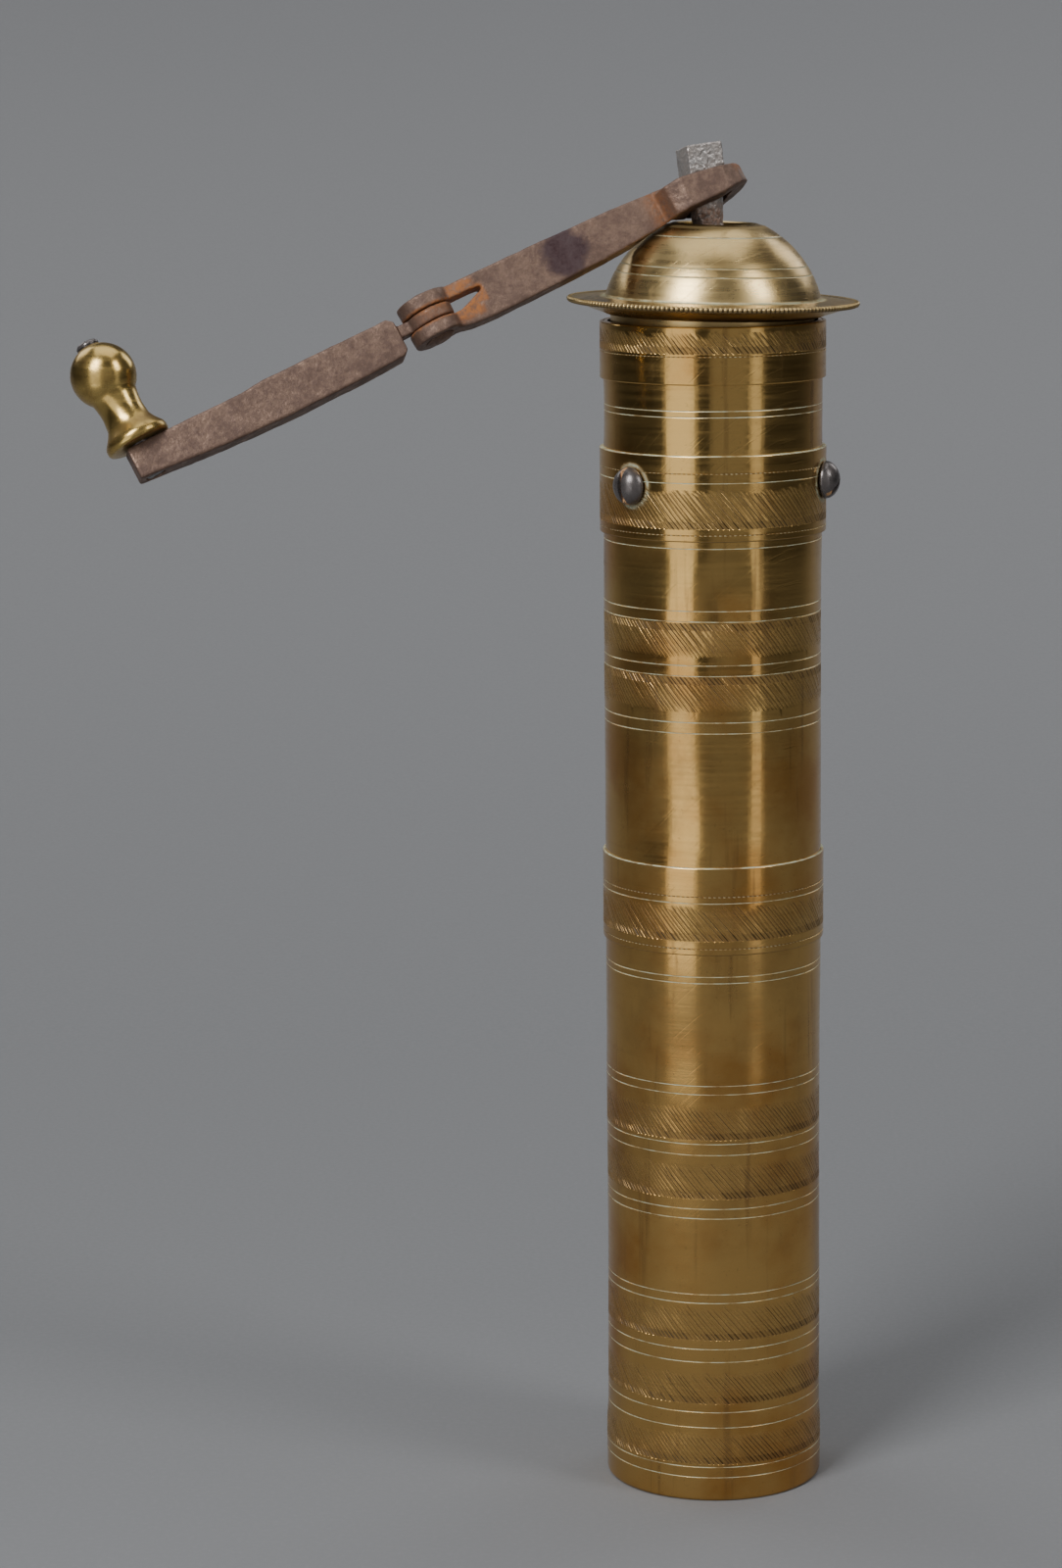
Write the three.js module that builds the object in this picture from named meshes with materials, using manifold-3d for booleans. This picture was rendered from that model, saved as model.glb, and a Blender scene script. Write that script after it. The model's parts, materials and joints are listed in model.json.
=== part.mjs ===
// Cylindrical brass hand mill with a lift-off domed lid and a folding iron crank.
// Millimetres, +Z up. The origin is the centre of the base's underside.
import * as THREE from 'three';
import { mergeVertices } from 'three/addons/utils/BufferGeometryUtils.js';
import Module from 'manifold-3d';

const wasm = await Module();
wasm.setup();

// ---------------------------------------------------------------- driving dimensions
const SHEET = 1.0; // wall of the drawn brass tubes
const TUBE_R = 25.0; // outer radius of every tube section
const BORE_R = TUBE_R - SHEET;
const SLIP = 0.08; // radial clearance where one tube plugs into another's band
const SOLDER = 0.03; // gap between pieces that are soldered or screwed together
const GAP = 0.3; // clearance between faces that rest on each other

const FOOT_R = 25.25; // slight flare of the cup's foot
const FOOT_H = 17;
const FLOOR_T = 1.4; // cup's bottom disc
const CUP_TOP = 139; // rim of the cup tube, hidden in its mouth band
const CUP_BAND = { low: 130.1, high: 150.4, r: 25.6 };
const BARREL_TOP = 230;
const BARREL_BAND = { low: 224.7, high: 244.0, r: 25.9 };
const HOPPER_TOP = 272.6;
const HOPPER_BAND = { low: 259.7, high: HOPPER_TOP, r: 25.75 };

const SCREW_Z = 236.7; // three dome-headed screws that hold the grinder
const SCREW_HEADINGS = { left: 225, right: 345, back: 105 };
const SCREW_HEAD = { r: 4.3, h: 3.8, slot: 1.1, slotDepth: 1.5 };
const SCREW_SHANK_R = 2.0;
const SCREW_SLOT_TURN = { left: 5, right: -40, back: 20 };

const STATOR = { low: 222, high: 242, r: 23.7, mouthR: 15, throatR: 11.2, throatZ: 236, skirtR: 17.2 };
const ROTOR = { low: 222.5, high: 237, topR: 7.6, midR: 11.2, midZ: 230.5, bottomR: 14.6, lip: 1.5 };
const ROTOR_PIN = { r: 1.5, half: 9.5, up: 3.5 };
const BURR_TEETH = 12;
const BURR_TWIST = 24; // degrees that each tooth winds round over its height
const TOOTH_DEPTH = 0.6;

const YOKE = { width: 9, bar: 3.2, legX: 15.8, screwX: 20.6, footX: 22.8, topZ: 259, bottomZ: 212 };
const YOKE_SCREW = { shankR: 1.4, headR: 2.6, headH: 1.9, bite: 5 };

const SHAFT_R = 4.5;
const SHAFT_LOW = 216.5;
const SHAFT_HIGH = 284;
const JOURNAL_GAP = 0.06; // running clearance of the spindle in its yoke
const NECK = { r: 3.4, flareR: 4.3, waistZ: 295.2, flareZ: 301.4 };
const HEAD = { side: 8.3, low: 301, high: 313.4, turn: 20, corner: 0.8 };
const HEAD_TOP = { front: 312.0, right: 2.5, back: -6.7 };
const LEAN = 7.2; // the spindle's square end is bent over to the left
const LEAN_FROM = 286;

const ADJUSTER = { rodR: 3.2, low: 192, high: 216.2, wingSpan: 26, wingH: 9, wingT: 2.6, hubR: 5 };

const LID_TILT = 1.5; // the lid sits a little crooked on the hopper
const LID_WALL = 1.0;
const LID = { seat: 273.7, rimR: 33.3, rimZ: 276.9, baseR: 24.6, baseZ: 277.7, topZ: 294.4, holeR: 9.2 };
const LID_TOP_R = 11.4;
const SKIRT = { r: BORE_R - 0.7, low: 266.5 };

const CRANK_HEADING = 200; // direction of the arms seen from above
const CRANK_DROOP = 23.5; // their slope down from the spindle
const CRANK_ROLL = 22.3; // and their roll about their own length
const EYE = { x: -2.3, z: 302.6, hole: 9.8 };
const EYE_SIDE = [ // side outline of the eye block: along the arm, then up
  [-9.4, -3.9], [-2, -4.9], [6, -4.8], [12, -4.5], [12, 2.5], [6.5, 2.7], [-3.6, 1.1], [-9.4, 0.5],
];
const EYE_PLAN = [ // the same block seen along the pivots
  [12, 2.6], [10, 6], [6.5, 7.8], [-3.5, 7.8], [-7.4, 5.6], [-9.3, 2.2], [-9.3, -2.6], [-7.4, -6],
  [-3.5, -8.3], [6.5, -8.3], [10, -6.4], [12, -2.6],
];
const INNER_DEPTH = 5.2;
const INNER_SIDE = [ // side outline of the inner arm's bar
  [6.5, -4.4], [13, -4.7], [20, -5.2], [28, -5.7], [40, -6.0], [56, -6.2], [62, -5.9], [66, -5.1],
  [66, 4.8], [40, 4.5], [20.5, 3.9], [6.5, 3.0],
];
const LID_RUB = 0.55; // clearance worn into the arm where it would touch the lid
const PIVOT_X = 70.4; // from the eye's centre to the fold pivot
const FORK = { r: 5.9, slot: 3.4, slotBack: 13.2, low: -4.9, high: 5.0 };
const TONGUE = { r: 5.6, t: 2.9, neckW: 3.8, neckTo: 9.5 };
const OUTER_DEPTH = 6.4;
const OUTER_SIDE = [ // side outline of the outer arm's bar, with its forged step half-way
  [8.2, -4.4], [9.6, -5.6], [20, -6.1], [38, -6.3], [46, -6.1], [54, -5.8], [60, -5.4], [68, -4.8], [74.6, -4.3],
  [74.6, 3.0], [46.6, 3.0], [40.6, 3.6], [9.6, 3.6], [8.2, 2.4],
];
const RIVET_R = 2.2;
const RIVET_HEAD = { r: 3.6, h: 0.9 };
const KNOB_X = 70.9; // from the fold pivot to the knob's pin
const KNOB = { base: 3.4, boreR: 2.35, pinR: 2.29, pinLow: -4.4, capR: 2.6, capH: 1.2 };

const ROUND = 48; // facets round the tubes
const MEDIUM = 24;
const SMALL = 16;

// ---------------------------------------------------------------- materials
const finish = (color, roughness) => new THREE.MeshStandardMaterial({ color, roughness, metalness: 1 });
const BRASS = finish(0x9c7a3c, 0.32);
const DOME_BRASS = finish(0xb09a5e, 0.38);
const IRON = finish(0x6a5a50, 0.7);
const CAST = finish(0x55524e, 0.8);
const STEEL = finish(0x8e8c88, 0.4);

// ---------------------------------------------------------------- helpers
const rad = THREE.MathUtils.degToRad;

/** Closed position-only copy of a geometry as a manifold solid. */
function solid(geometry) {
  const bare = new THREE.BufferGeometry();
  bare.setAttribute('position', geometry.getAttribute('position'));
  bare.setIndex(geometry.getIndex());
  const merged = mergeVertices(bare, 1e-4);
  return new wasm.Manifold(new wasm.Mesh({
    numProp: 3,
    vertProperties: new Float32Array(merged.getAttribute('position').array),
    triVerts: new Uint32Array(merged.getIndex().array),
  }));
}

function geometryOf(body) {
  const mesh = body.getMesh();
  const geometry = new THREE.BufferGeometry();
  geometry.setAttribute('position', new THREE.BufferAttribute(new Float32Array(mesh.vertProperties), 3));
  geometry.setIndex(new THREE.BufferAttribute(new Uint32Array(mesh.triVerts), 1));
  geometry.computeVertexNormals();
  return geometry;
}

const join = (...parts) => geometryOf(parts.map(solid).reduce((sum, next) => sum.add(next)));

function cut(from, ...tools) {
  return geometryOf(tools.map(solid).reduce((rest, tool) => rest.subtract(tool), solid(from)));
}

const meet = (a, b) => geometryOf(solid(a).intersect(solid(b)));

/** Profile of [radius, z] pairs turned about +Z; the outline runs up the outside. */
function turned(profile, segments = ROUND) {
  const points = profile.map(([r, z]) => new THREE.Vector2(r, z));
  return new THREE.LatheGeometry(points, segments).rotateX(Math.PI / 2);
}

/** Turned ring: the outline closes on itself instead of on the axis. */
const ring = (profile, segments = ROUND) => turned([...profile, profile[0]], segments);

/** Plain sleeve between two radii. */
const sleeve = (inner, outer, low, high, segments = ROUND) =>
  ring([[inner, low], [outer, low], [outer, high], [inner, high]], segments);

/** Round bar along +Z. */
const rod = (r, low, high, segments = SMALL) =>
  turned([[0, low], [r, low], [r, high], [0, high]], segments);

/** Box given by its lowest and highest corners. */
function block([x0, y0, z0], [x1, y1, z1]) {
  return new THREE.BoxGeometry(x1 - x0, y1 - y0, z1 - z0)
    .translate((x0 + x1) / 2, (y0 + y1) / 2, (z0 + z1) / 2);
}

/** Side outline in X and Z, extruded by a depth centred on Y = 0. */
function slab(outline, depth) {
  const shape = new THREE.Shape(outline.map(([x, z]) => new THREE.Vector2(x, z)));
  return new THREE.ExtrudeGeometry(shape, { depth, bevelEnabled: false })
    .translate(0, 0, -depth / 2)
    .rotateX(Math.PI / 2);
}

/** Outline in X and Y, extruded along +Z. */
function prism(outline, low, high) {
  const shape = new THREE.Shape(outline.map(([x, y]) => new THREE.Vector2(x, y)));
  return new THREE.ExtrudeGeometry(shape, { depth: high - low, bevelEnabled: false }).translate(0, 0, low);
}

/** Square bar along +Z with its four long corners taken off. */
function squareBar(side, corner, low, high) {
  const half = side / 2;
  const flat = half - corner;
  return prism([
    [half, -flat], [half, flat], [flat, half], [-flat, half],
    [-half, flat], [-half, -flat], [-flat, -half], [flat, -half],
  ], low, high);
}

/** Moves points in and out with their angle, so that a cone gets slanting teeth. */
function toothed(geometry, low, high, affects, depth) {
  const position = geometry.getAttribute('position');
  for (let i = 0; i < position.count; i += 1) {
    const [x, y, z] = [position.getX(i), position.getY(i), position.getZ(i)];
    const r = Math.hypot(x, y);
    if (affects(r, z)) {
      const wind = rad(BURR_TWIST) * (z - low) / (high - low);
      const scale = 1 + depth * Math.cos(BURR_TEETH * (Math.atan2(y, x) - wind)) / r;
      position.setXY(i, x * scale, y * scale);
    }
  }
  return geometry;
}

const model = new THREE.Group();

function place(parent, name, geometry, material) {
  const mesh = new THREE.Mesh(geometry, material);
  mesh.name = name;
  parent.add(mesh);
}

// ---------------------------------------------------------------- cup: the lower, receiving half
function buildCup() {
  const rimIn = 0.7; // rounded corner at the foot
  place(model, 'cup_tube', ring([
    [BORE_R, 0.4], [FOOT_R - rimIn, 0], [FOOT_R, 1.2], [FOOT_R, FOOT_H * 0.7],
    [TUBE_R, FOOT_H], [TUBE_R, CUP_TOP], [BORE_R, CUP_TOP],
  ]), BRASS);
  place(model, 'cup_floor', rod(BORE_R - SOLDER, 0, FLOOR_T, ROUND), BRASS);
  const { low, high, r } = CUP_BAND;
  place(model, 'cup_mouth_band', ring([
    [TUBE_R + SOLDER, low], [r - 0.25, low], [r, low + 0.4], [r, high - 0.4], [r - 0.2, high],
    [TUBE_R + SLIP, high], [TUBE_R + SLIP, CUP_TOP], [TUBE_R + SOLDER, CUP_TOP],
  ]), BRASS);
}

// ---------------------------------------------------------------- barrel: the upper half
const screwHole = (heading, r) => rod(r, 0, 2 * TUBE_R)
  .rotateY(Math.PI / 2)
  .translate(0, 0, SCREW_Z)
  .rotateZ(rad(heading));

function drilled(wall) {
  const tools = Object.values(SCREW_HEADINGS).map((heading) => screwHole(heading, SCREW_SHANK_R + SOLDER));
  return cut(wall, ...tools);
}

function bandRing({ low, high, r }) {
  return ring([
    [TUBE_R + SOLDER, low], [r - 0.25, low], [r, low + 0.4],
    [r, high - 0.4], [r - 0.2, high], [TUBE_R + SOLDER, high],
  ]);
}

function buildBarrel() {
  place(model, 'barrel_tube', sleeve(BORE_R, TUBE_R, CUP_TOP + GAP, BARREL_TOP), BRASS);
  place(model, 'barrel_band', drilled(bandRing(BARREL_BAND)), BRASS);
  place(model, 'hopper_tube', drilled(sleeve(BORE_R, TUBE_R, BARREL_TOP + GAP, HOPPER_TOP)), BRASS);
  place(model, 'hopper_mouth_band', bandRing(HOPPER_BAND), BRASS);
}

/** Dome-headed screw along +X, its head's seat at the given radius. */
function domeScrew(seat, tip, slotTurn) {
  const { r, h, slot, slotDepth } = SCREW_HEAD;
  const bulge = [0.5, 0.75, 0.92].map((k) => [r * Math.sqrt(1 - k * k), h * k]);
  const head = turned([[0, 0], [r * 0.93, 0], [r, h * 0.22], ...bulge, [0, h]], MEDIUM).translate(0, 0, seat);
  const groove = block([-r, -slot / 2, seat + h - slotDepth], [r, slot / 2, seat + h + 1])
    .rotateZ(rad(slotTurn));
  return cut(join(head, rod(SCREW_SHANK_R, tip, seat + 1)), groove).rotateY(Math.PI / 2);
}

function buildScrews() {
  for (const [name, heading] of Object.entries(SCREW_HEADINGS)) {
    const seat = BARREL_BAND.r + SOLDER;
    const tip = STATOR.r - 4;
    const geometry = domeScrew(seat, tip, SCREW_SLOT_TURN[name])
      .translate(0, 0, SCREW_Z)
      .rotateZ(rad(heading));
    place(model, `grinder_screw_${name}`, geometry, STEEL);
  }
}

// ---------------------------------------------------------------- grinder
const yokeScrewHoles = (r, low, high) =>
  [-1, 1].map((side) => rod(r, low, high).translate(side * YOKE.screwX, 0, 0));

function buildStator() {
  const { low, high, r, mouthR, throatR, throatZ, skirtR } = STATOR;
  const body = toothed(ring([
    [skirtR, low], [r, low], [r, high], [mouthR, high], [throatR, throatZ],
    [throatR + (skirtR - throatR) / 2, (low + throatZ) / 2],
  ]), low, throatZ, (radius, z) => radius < skirtR + 1 && z <= throatZ, TOOTH_DEPTH);
  const tapped = yokeScrewHoles(YOKE_SCREW.shankR + SOLDER, low - 1, low + YOKE_SCREW.bite + 1);
  const tappedTop = yokeScrewHoles(YOKE_SCREW.shankR + SOLDER, high - YOKE_SCREW.bite - 1, high + 1);
  place(model, 'stator_burr', cut(drilled(body), ...tapped, ...tappedTop), CAST);
}

/** Bridge of flat bar: two feet on the stator, two legs, and a bar across with a round hole. */
function bridge(seat, barZ, holeR) {
  const { width, bar, legX, footX } = YOKE;
  const up = Math.sign(barZ - seat);
  const span = (a, b) => [Math.min(a, b), Math.max(a, b)];
  const [footLow, footHigh] = span(seat, seat + up * bar);
  const [legLow, legHigh] = span(seat, barZ);
  const [barLow, barHigh] = span(barZ, barZ - up * bar);
  const arms = [-1, 1].flatMap((side) => {
    const [footX0, footX1] = span(side * (legX - bar), side * footX);
    const [legX0, legX1] = span(side * (legX - bar), side * legX);
    return [
      block([footX0, -width / 2, footLow], [footX1, width / 2, footHigh]),
      block([legX0, -width / 2, legLow], [legX1, width / 2, legHigh]),
    ];
  });
  const beam = block([-legX, -width / 2, barLow], [legX, width / 2, barHigh]);
  const boss = rod(width * 0.72, barLow, barHigh, MEDIUM);
  const holes = yokeScrewHoles(YOKE_SCREW.shankR + SOLDER, footLow - 1, footHigh + 1);
  return cut(join(...arms, beam, boss), ...holes, rod(holeR, barLow - 1, barHigh + 1, MEDIUM));
}

/** Small cheese-head screw through a yoke's foot; it points down, or up for the lower yoke. */
function yokeScrew(seat, up) {
  const { shankR, headR, headH, bite } = YOKE_SCREW;
  const lift = YOKE.bar + SOLDER;
  const profile = [[0, -bite], [shankR, -bite], [shankR, lift], [headR, lift], [headR, lift + headH],
    [0, lift + headH]];
  const groove = block([-headR, -0.4, lift + headH - 0.8], [headR, 0.4, lift + headH + 1]);
  const screw = cut(turned(profile, SMALL), groove);
  return (up > 0 ? screw : screw.rotateX(Math.PI)).translate(0, 0, seat);
}

function buildYokes() {
  const { high, low } = STATOR;
  const top = high + SOLDER;
  const under = low - SOLDER;
  place(model, 'upper_yoke', bridge(top, YOKE.topZ, SHAFT_R + JOURNAL_GAP), IRON);
  place(model, 'lower_yoke', bridge(under, YOKE.bottomZ, ADJUSTER.rodR + JOURNAL_GAP), IRON);
  for (const [side, name] of [[-1, 'left'], [1, 'right']]) {
    place(model, `upper_yoke_screw_${name}`, yokeScrew(top, 1).translate(side * YOKE.screwX, 0, 0), STEEL);
    place(model, `lower_yoke_screw_${name}`, yokeScrew(under, -1).translate(side * YOKE.screwX, 0, 0), STEEL);
  }
}

// ---------------------------------------------------------------- spindle
/** Turns a piece over to the left about the point where the spindle is bent. */
function leaned(geometry) {
  return geometry.translate(0, 0, -LEAN_FROM).rotateY(rad(-LEAN)).translate(0, 0, LEAN_FROM);
}

function buildSpindle() {
  const { r, flareR, waistZ, flareZ } = NECK;
  const shaft = turned([
    [0, SHAFT_LOW], [SHAFT_R - 0.8, SHAFT_LOW], [SHAFT_R, SHAFT_LOW + 1.2], [SHAFT_R, SHAFT_HIGH],
    [r, SHAFT_HIGH + 3], [0, SHAFT_HIGH + 3],
  ], MEDIUM);
  const neck = leaned(turned([
    [0, LEAN_FROM - 1.5], [r, LEAN_FROM - 1.5], [r, waistZ], [flareR, flareZ], [0, flareZ],
  ], SMALL));
  const above = block([-20, -20, 0], [20, 20, 20])
    .rotateX(rad(HEAD_TOP.back))
    .rotateY(rad(-HEAD_TOP.right))
    .translate(0, 0, HEAD_TOP.front);
  const bar = squareBar(HEAD.side, HEAD.corner, HEAD.low, HEAD.high + 2).rotateZ(rad(HEAD.turn));
  const head = leaned(cut(bar, above));
  const crossPin = (r, halfLength) => rod(r, -halfLength, halfLength)
    .rotateY(Math.PI / 2)
    .translate(0, 0, ROTOR.low + ROTOR_PIN.up);
  const pinHole = crossPin(ROTOR_PIN.r + SOLDER, 2 * SHAFT_R);
  place(model, 'spindle', cut(join(shaft, neck, head), pinHole), STEEL);

  const { low, high, topR, midR, midZ, bottomR, lip } = ROTOR;
  const cone = toothed(ring([
    [SHAFT_R + SOLDER, low], [bottomR, low], [bottomR, low + lip], [midR, midZ], [topR, high],
    [SHAFT_R + SOLDER, high],
  ]), low, high, (radius) => radius > SHAFT_R + 1, TOOTH_DEPTH);
  place(model, 'rotor_burr', cut(cone, crossPin(ROTOR_PIN.r + SOLDER, bottomR + 1)), CAST);
  place(model, 'rotor_pin', crossPin(ROTOR_PIN.r, ROTOR_PIN.half), STEEL);
}

// ---------------------------------------------------------------- adjusting screw
function buildAdjuster() {
  const { rodR, low, high, wingSpan, wingH, wingT, hubR } = ADJUSTER;
  const hubTop = low + wingH + 2;
  const stem = turned([
    [0, low], [hubR - 0.6, low], [hubR, low + 0.8], [hubR, hubTop], [rodR, hubTop + 1],
    [rodR, high - 0.8], [rodR - 0.8, high], [0, high],
  ], MEDIUM);
  const half = wingSpan / 2;
  const wing = slab([
    [-half, low + 2.5], [-half + 2, low + 1], [half - 2, low + 1], [half, low + 2.5],
    [half, low + wingH - 1], [half - 2, low + wingH + 0.5], [-half + 2, low + wingH + 0.5],
    [-half, low + wingH - 1],
  ], wingT);
  place(model, 'adjusting_screw', join(stem, wing), STEEL);
}

// ---------------------------------------------------------------- lid
function buildLid() {
  const lid = new THREE.Group();
  lid.position.set(0, 0, LID.seat);
  lid.rotation.y = rad(LID_TILT);
  model.add(lid);
  const { seat, rimR, rimZ, baseR, baseZ, topZ, holeR } = LID;
  const at = (z) => z - seat;

  // the dome is an arc from its base to the flat round its hole
  const rise = topZ - 0.5 - baseZ;
  const centreZ = -((baseR ** 2 - LID_TOP_R ** 2) - rise ** 2) / (2 * rise);
  const domeR = Math.hypot(baseR, centreZ);
  const arc = (radius, from, to, steps) => {
    const points = [];
    for (let i = 0; i <= steps; i += 1) {
      const z = from + (to - from) * i / steps;
      points.push([Math.sqrt(radius ** 2 - (z - centreZ) ** 2), at(baseZ) + z]);
    }
    return points;
  };
  const innerTop = rise - LID_WALL;
  place(lid, 'lid_dome', ring([
    ...arc(domeR, 0, rise, 7), [holeR, at(topZ)], [holeR, at(topZ) - LID_WALL],
    ...arc(domeR - LID_WALL, 0, innerTop, 5).reverse(),
  ]), DOME_BRASS);

  place(lid, 'lid_brim', ring([
    [SKIRT.r + SOLDER, at(seat)], [TUBE_R - 0.4, at(seat)], [rimR - 0.9, at(rimZ) - 0.9], [rimR, at(rimZ) - 0.45],
    [rimR, at(rimZ) + 0.1], [rimR - 0.9, at(rimZ) + 0.45], [baseR + 1, at(baseZ) - SOLDER],
    [SKIRT.r + SOLDER, at(baseZ) - SOLDER],
  ]), DOME_BRASS);

  place(lid, 'lid_skirt', sleeve(SKIRT.r - 0.9, SKIRT.r, at(SKIRT.low), at(baseZ) - SOLDER), BRASS);
}

// ---------------------------------------------------------------- crank
const crank = new THREE.Group();
crank.position.set(EYE.x, 0, EYE.z);
crank.rotation.set(rad(CRANK_ROLL), rad(CRANK_DROOP), rad(CRANK_HEADING), 'ZYX');
model.add(crank);

/** The square hole of the eye, in the crank's own axes, true to the spindle's head. */
function eyeHole() {
  const hole = squareBar(EYE.hole, 0.8, -12, 12).rotateZ(rad(HEAD.turn)).rotateY(rad(-LEAN));
  return hole.applyQuaternion(crank.quaternion.clone().invert());
}

const rivetHole = (x) => rod(RIVET_R + SOLDER, -12, 12, SMALL).translate(x, 0, 0);

/** What the lid sweeps, in the crank's own axes, so that the turning arm clears it. */
function lidSweep() {
  const { baseR, baseZ, topZ } = LID;
  const rise = topZ - 0.5 - baseZ;
  const below = (baseR ** 2 - LID_TOP_R ** 2 - rise ** 2) / (2 * rise);
  const radius = Math.hypot(baseR, below) + LID_RUB;
  const tilt = LID_TOP_R * Math.sin(rad(LID_TILT));
  const skin = [0.2, 0.35, 0.5, 0.65, 0.8, 0.95].map((k) => [
    Math.sqrt(radius ** 2 - (rise * k + below) ** 2), baseZ + rise * k + tilt,
  ]);
  const sweep = turned([[0, baseZ], [skin[0][0], baseZ], ...skin, [LID_TOP_R, topZ + LID_RUB + tilt],
    [0, topZ + LID_RUB + tilt]]);
  crank.updateMatrix();
  return sweep.applyMatrix4(crank.matrix.clone().invert());
}

function buildInnerArm() {
  const eye = meet(slab(EYE_SIDE, 20), prism(EYE_PLAN, -8, 8));
  const bar = slab(INNER_SIDE, INNER_DEPTH);
  const disc = rod(FORK.r, FORK.low, FORK.high, MEDIUM).translate(PIVOT_X, 0, 0);
  const slot = block(
    [PIVOT_X - FORK.slotBack, -FORK.r - 1, -FORK.slot / 2],
    [PIVOT_X + FORK.r + 1, FORK.r + 1, FORK.slot / 2],
  );
  place(crank, 'inner_arm', cut(join(eye, bar, disc), eyeHole(), slot, rivetHole(PIVOT_X), lidSweep()), IRON);

  const { r, h } = RIVET_HEAD;
  const low = FORK.low - SOLDER;
  const high = FORK.high + SOLDER;
  place(crank, 'fold_rivet', turned([
    [0, low - h], [r * 0.7, low - h], [r, low - h * 0.3], [r, low], [RIVET_R, low],
    [RIVET_R, high], [r, high], [r, high + h * 0.3], [r * 0.7, high + h], [0, high + h],
  ], SMALL).translate(PIVOT_X, 0, 0), IRON);
}

function buildOuterArm() {
  const arm = new THREE.Group();
  arm.position.set(PIVOT_X, 0, 0);
  crank.add(arm);
  const half = TONGUE.t / 2;
  const disc = rod(TONGUE.r, -half, half, MEDIUM);
  const neck = block([0, -TONGUE.neckW / 2, -half], [TONGUE.neckTo, TONGUE.neckW / 2, half]);
  const bar = slab(OUTER_SIDE, OUTER_DEPTH);
  const pivotHole = rod(RIVET_R + JOURNAL_GAP, -12, 12, SMALL);
  const knobHole = rod(KNOB.pinR + SOLDER, -12, 12, SMALL).translate(KNOB_X, 0, 0);
  place(arm, 'outer_arm', cut(join(disc, neck, bar), pivotHole, knobHole), IRON);

  const { base, boreR, pinR, pinLow, capR, capH } = KNOB;
  const profile = knobProfile();
  const top = profile.at(-1)[1];
  const knob = new THREE.Group();
  knob.position.set(KNOB_X, 0, 0);
  arm.add(knob);
  place(knob, 'knob_pin', turned([
    [0, pinLow], [pinR, pinLow], [pinR, base + top + GAP], [capR, base + top + GAP], [capR - 0.3, base + top + GAP + capH * 0.8],
    [capR - 1.2, base + top + GAP + capH], [0, base + top + GAP + capH],
  ], SMALL), IRON);
  place(knob, 'knob', ring([
    [boreR, base], ...profile.map(([r, z]) => [r, base + z]), [boreR, base + top],
  ], MEDIUM), BRASS);
}

/** Outline of the turned knob above its flange: flange, waist, ball and flat top. */
function knobProfile() {
  const flangeR = 7.35;
  const waistR = 4.8;
  const ballR = 7.35;
  const ballZ = 17.2;
  const flare = [[flangeR - 0.6, 0], [flangeR, 0.6], [flangeR, 1.7], [flangeR - 0.9, 2.9]];
  const waist = [[5.1, 5.6], [waistR, 8.0], [waistR + 0.3, 10.0]];
  const ball = [];
  for (let angle = -42; angle <= 66; angle += 12) {
    ball.push([ballR * Math.cos(rad(angle)), ballZ + ballR * Math.sin(rad(angle))]);
  }
  const last = ball.at(-1);
  return [...flare, ...waist, ...ball, [last[0] - 0.2, last[1] + 0.3]];
}

buildCup();
buildBarrel();
buildScrews();
buildStator();
buildYokes();
buildSpindle();
buildAdjuster();
buildLid();
buildInnerArm();
buildOuterArm();

export default model;
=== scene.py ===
"""Looks of a tall brass hand mill with a folding iron crank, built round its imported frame.

Every piece is modelled in millimetres in the frame's own axes: +Z runs up the tubes, -Y is the
front, and the crank points to -X. Each sub-assembly is a class whose fields are its sizes.
"""

from __future__ import annotations

import json
import logging
import math
from collections.abc import Callable, Iterable, Sequence
from dataclasses import dataclass, field
from enum import Enum

import bpy
import numpy as np
from mathutils import Matrix, Vector

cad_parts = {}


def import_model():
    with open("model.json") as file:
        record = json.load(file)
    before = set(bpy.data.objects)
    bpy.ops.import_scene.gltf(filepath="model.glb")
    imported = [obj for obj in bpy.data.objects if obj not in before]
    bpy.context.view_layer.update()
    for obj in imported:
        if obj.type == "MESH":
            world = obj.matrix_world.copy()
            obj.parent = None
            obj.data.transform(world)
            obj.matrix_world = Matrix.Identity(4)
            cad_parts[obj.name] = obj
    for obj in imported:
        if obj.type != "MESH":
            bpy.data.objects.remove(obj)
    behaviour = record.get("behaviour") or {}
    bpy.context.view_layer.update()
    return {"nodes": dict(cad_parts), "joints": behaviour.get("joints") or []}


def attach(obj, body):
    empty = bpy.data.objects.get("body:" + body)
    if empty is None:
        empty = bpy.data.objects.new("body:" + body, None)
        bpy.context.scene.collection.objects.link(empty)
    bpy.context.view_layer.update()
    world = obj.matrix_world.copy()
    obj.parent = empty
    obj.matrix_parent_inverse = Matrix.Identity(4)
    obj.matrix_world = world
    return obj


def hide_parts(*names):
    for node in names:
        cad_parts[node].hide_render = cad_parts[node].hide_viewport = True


MM = 0.001
LOG = logging.getLogger("mill")

Piece = bpy.types.Object
Material = bpy.types.Material
Tree = bpy.types.NodeTree
Socket = bpy.types.NodeSocket
Outputs = bpy.types.NodeOutputs
Groups = dict[str, Tree]
Point = tuple[float, float]
Colour = tuple[float, float, float]
Dent = tuple[float, float, float, float]  # heading, height, radius and depth


class Body(Enum):
    """The moving bodies that pieces ride on."""

    CUP = "cup"
    BARREL = "barrel"
    SPINDLE = "spindle"
    LID = "lid"
    CRANK = "crank"
    CRANK_TIP = "crank_tip"
    KNOB = "knob"


class Slot(Enum):
    """The record's material slots."""

    TUBE_BRASS = "tube_brass"
    LID_BRASS = "lid_brass"
    KNOB_BRASS = "knob_brass"
    FORGED_IRON = "forged_iron"
    SPINDLE_IRON = "spindle_iron"
    SCREW_STEEL = "screw_steel"
    BURR_IRON = "burr_iron"


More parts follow.
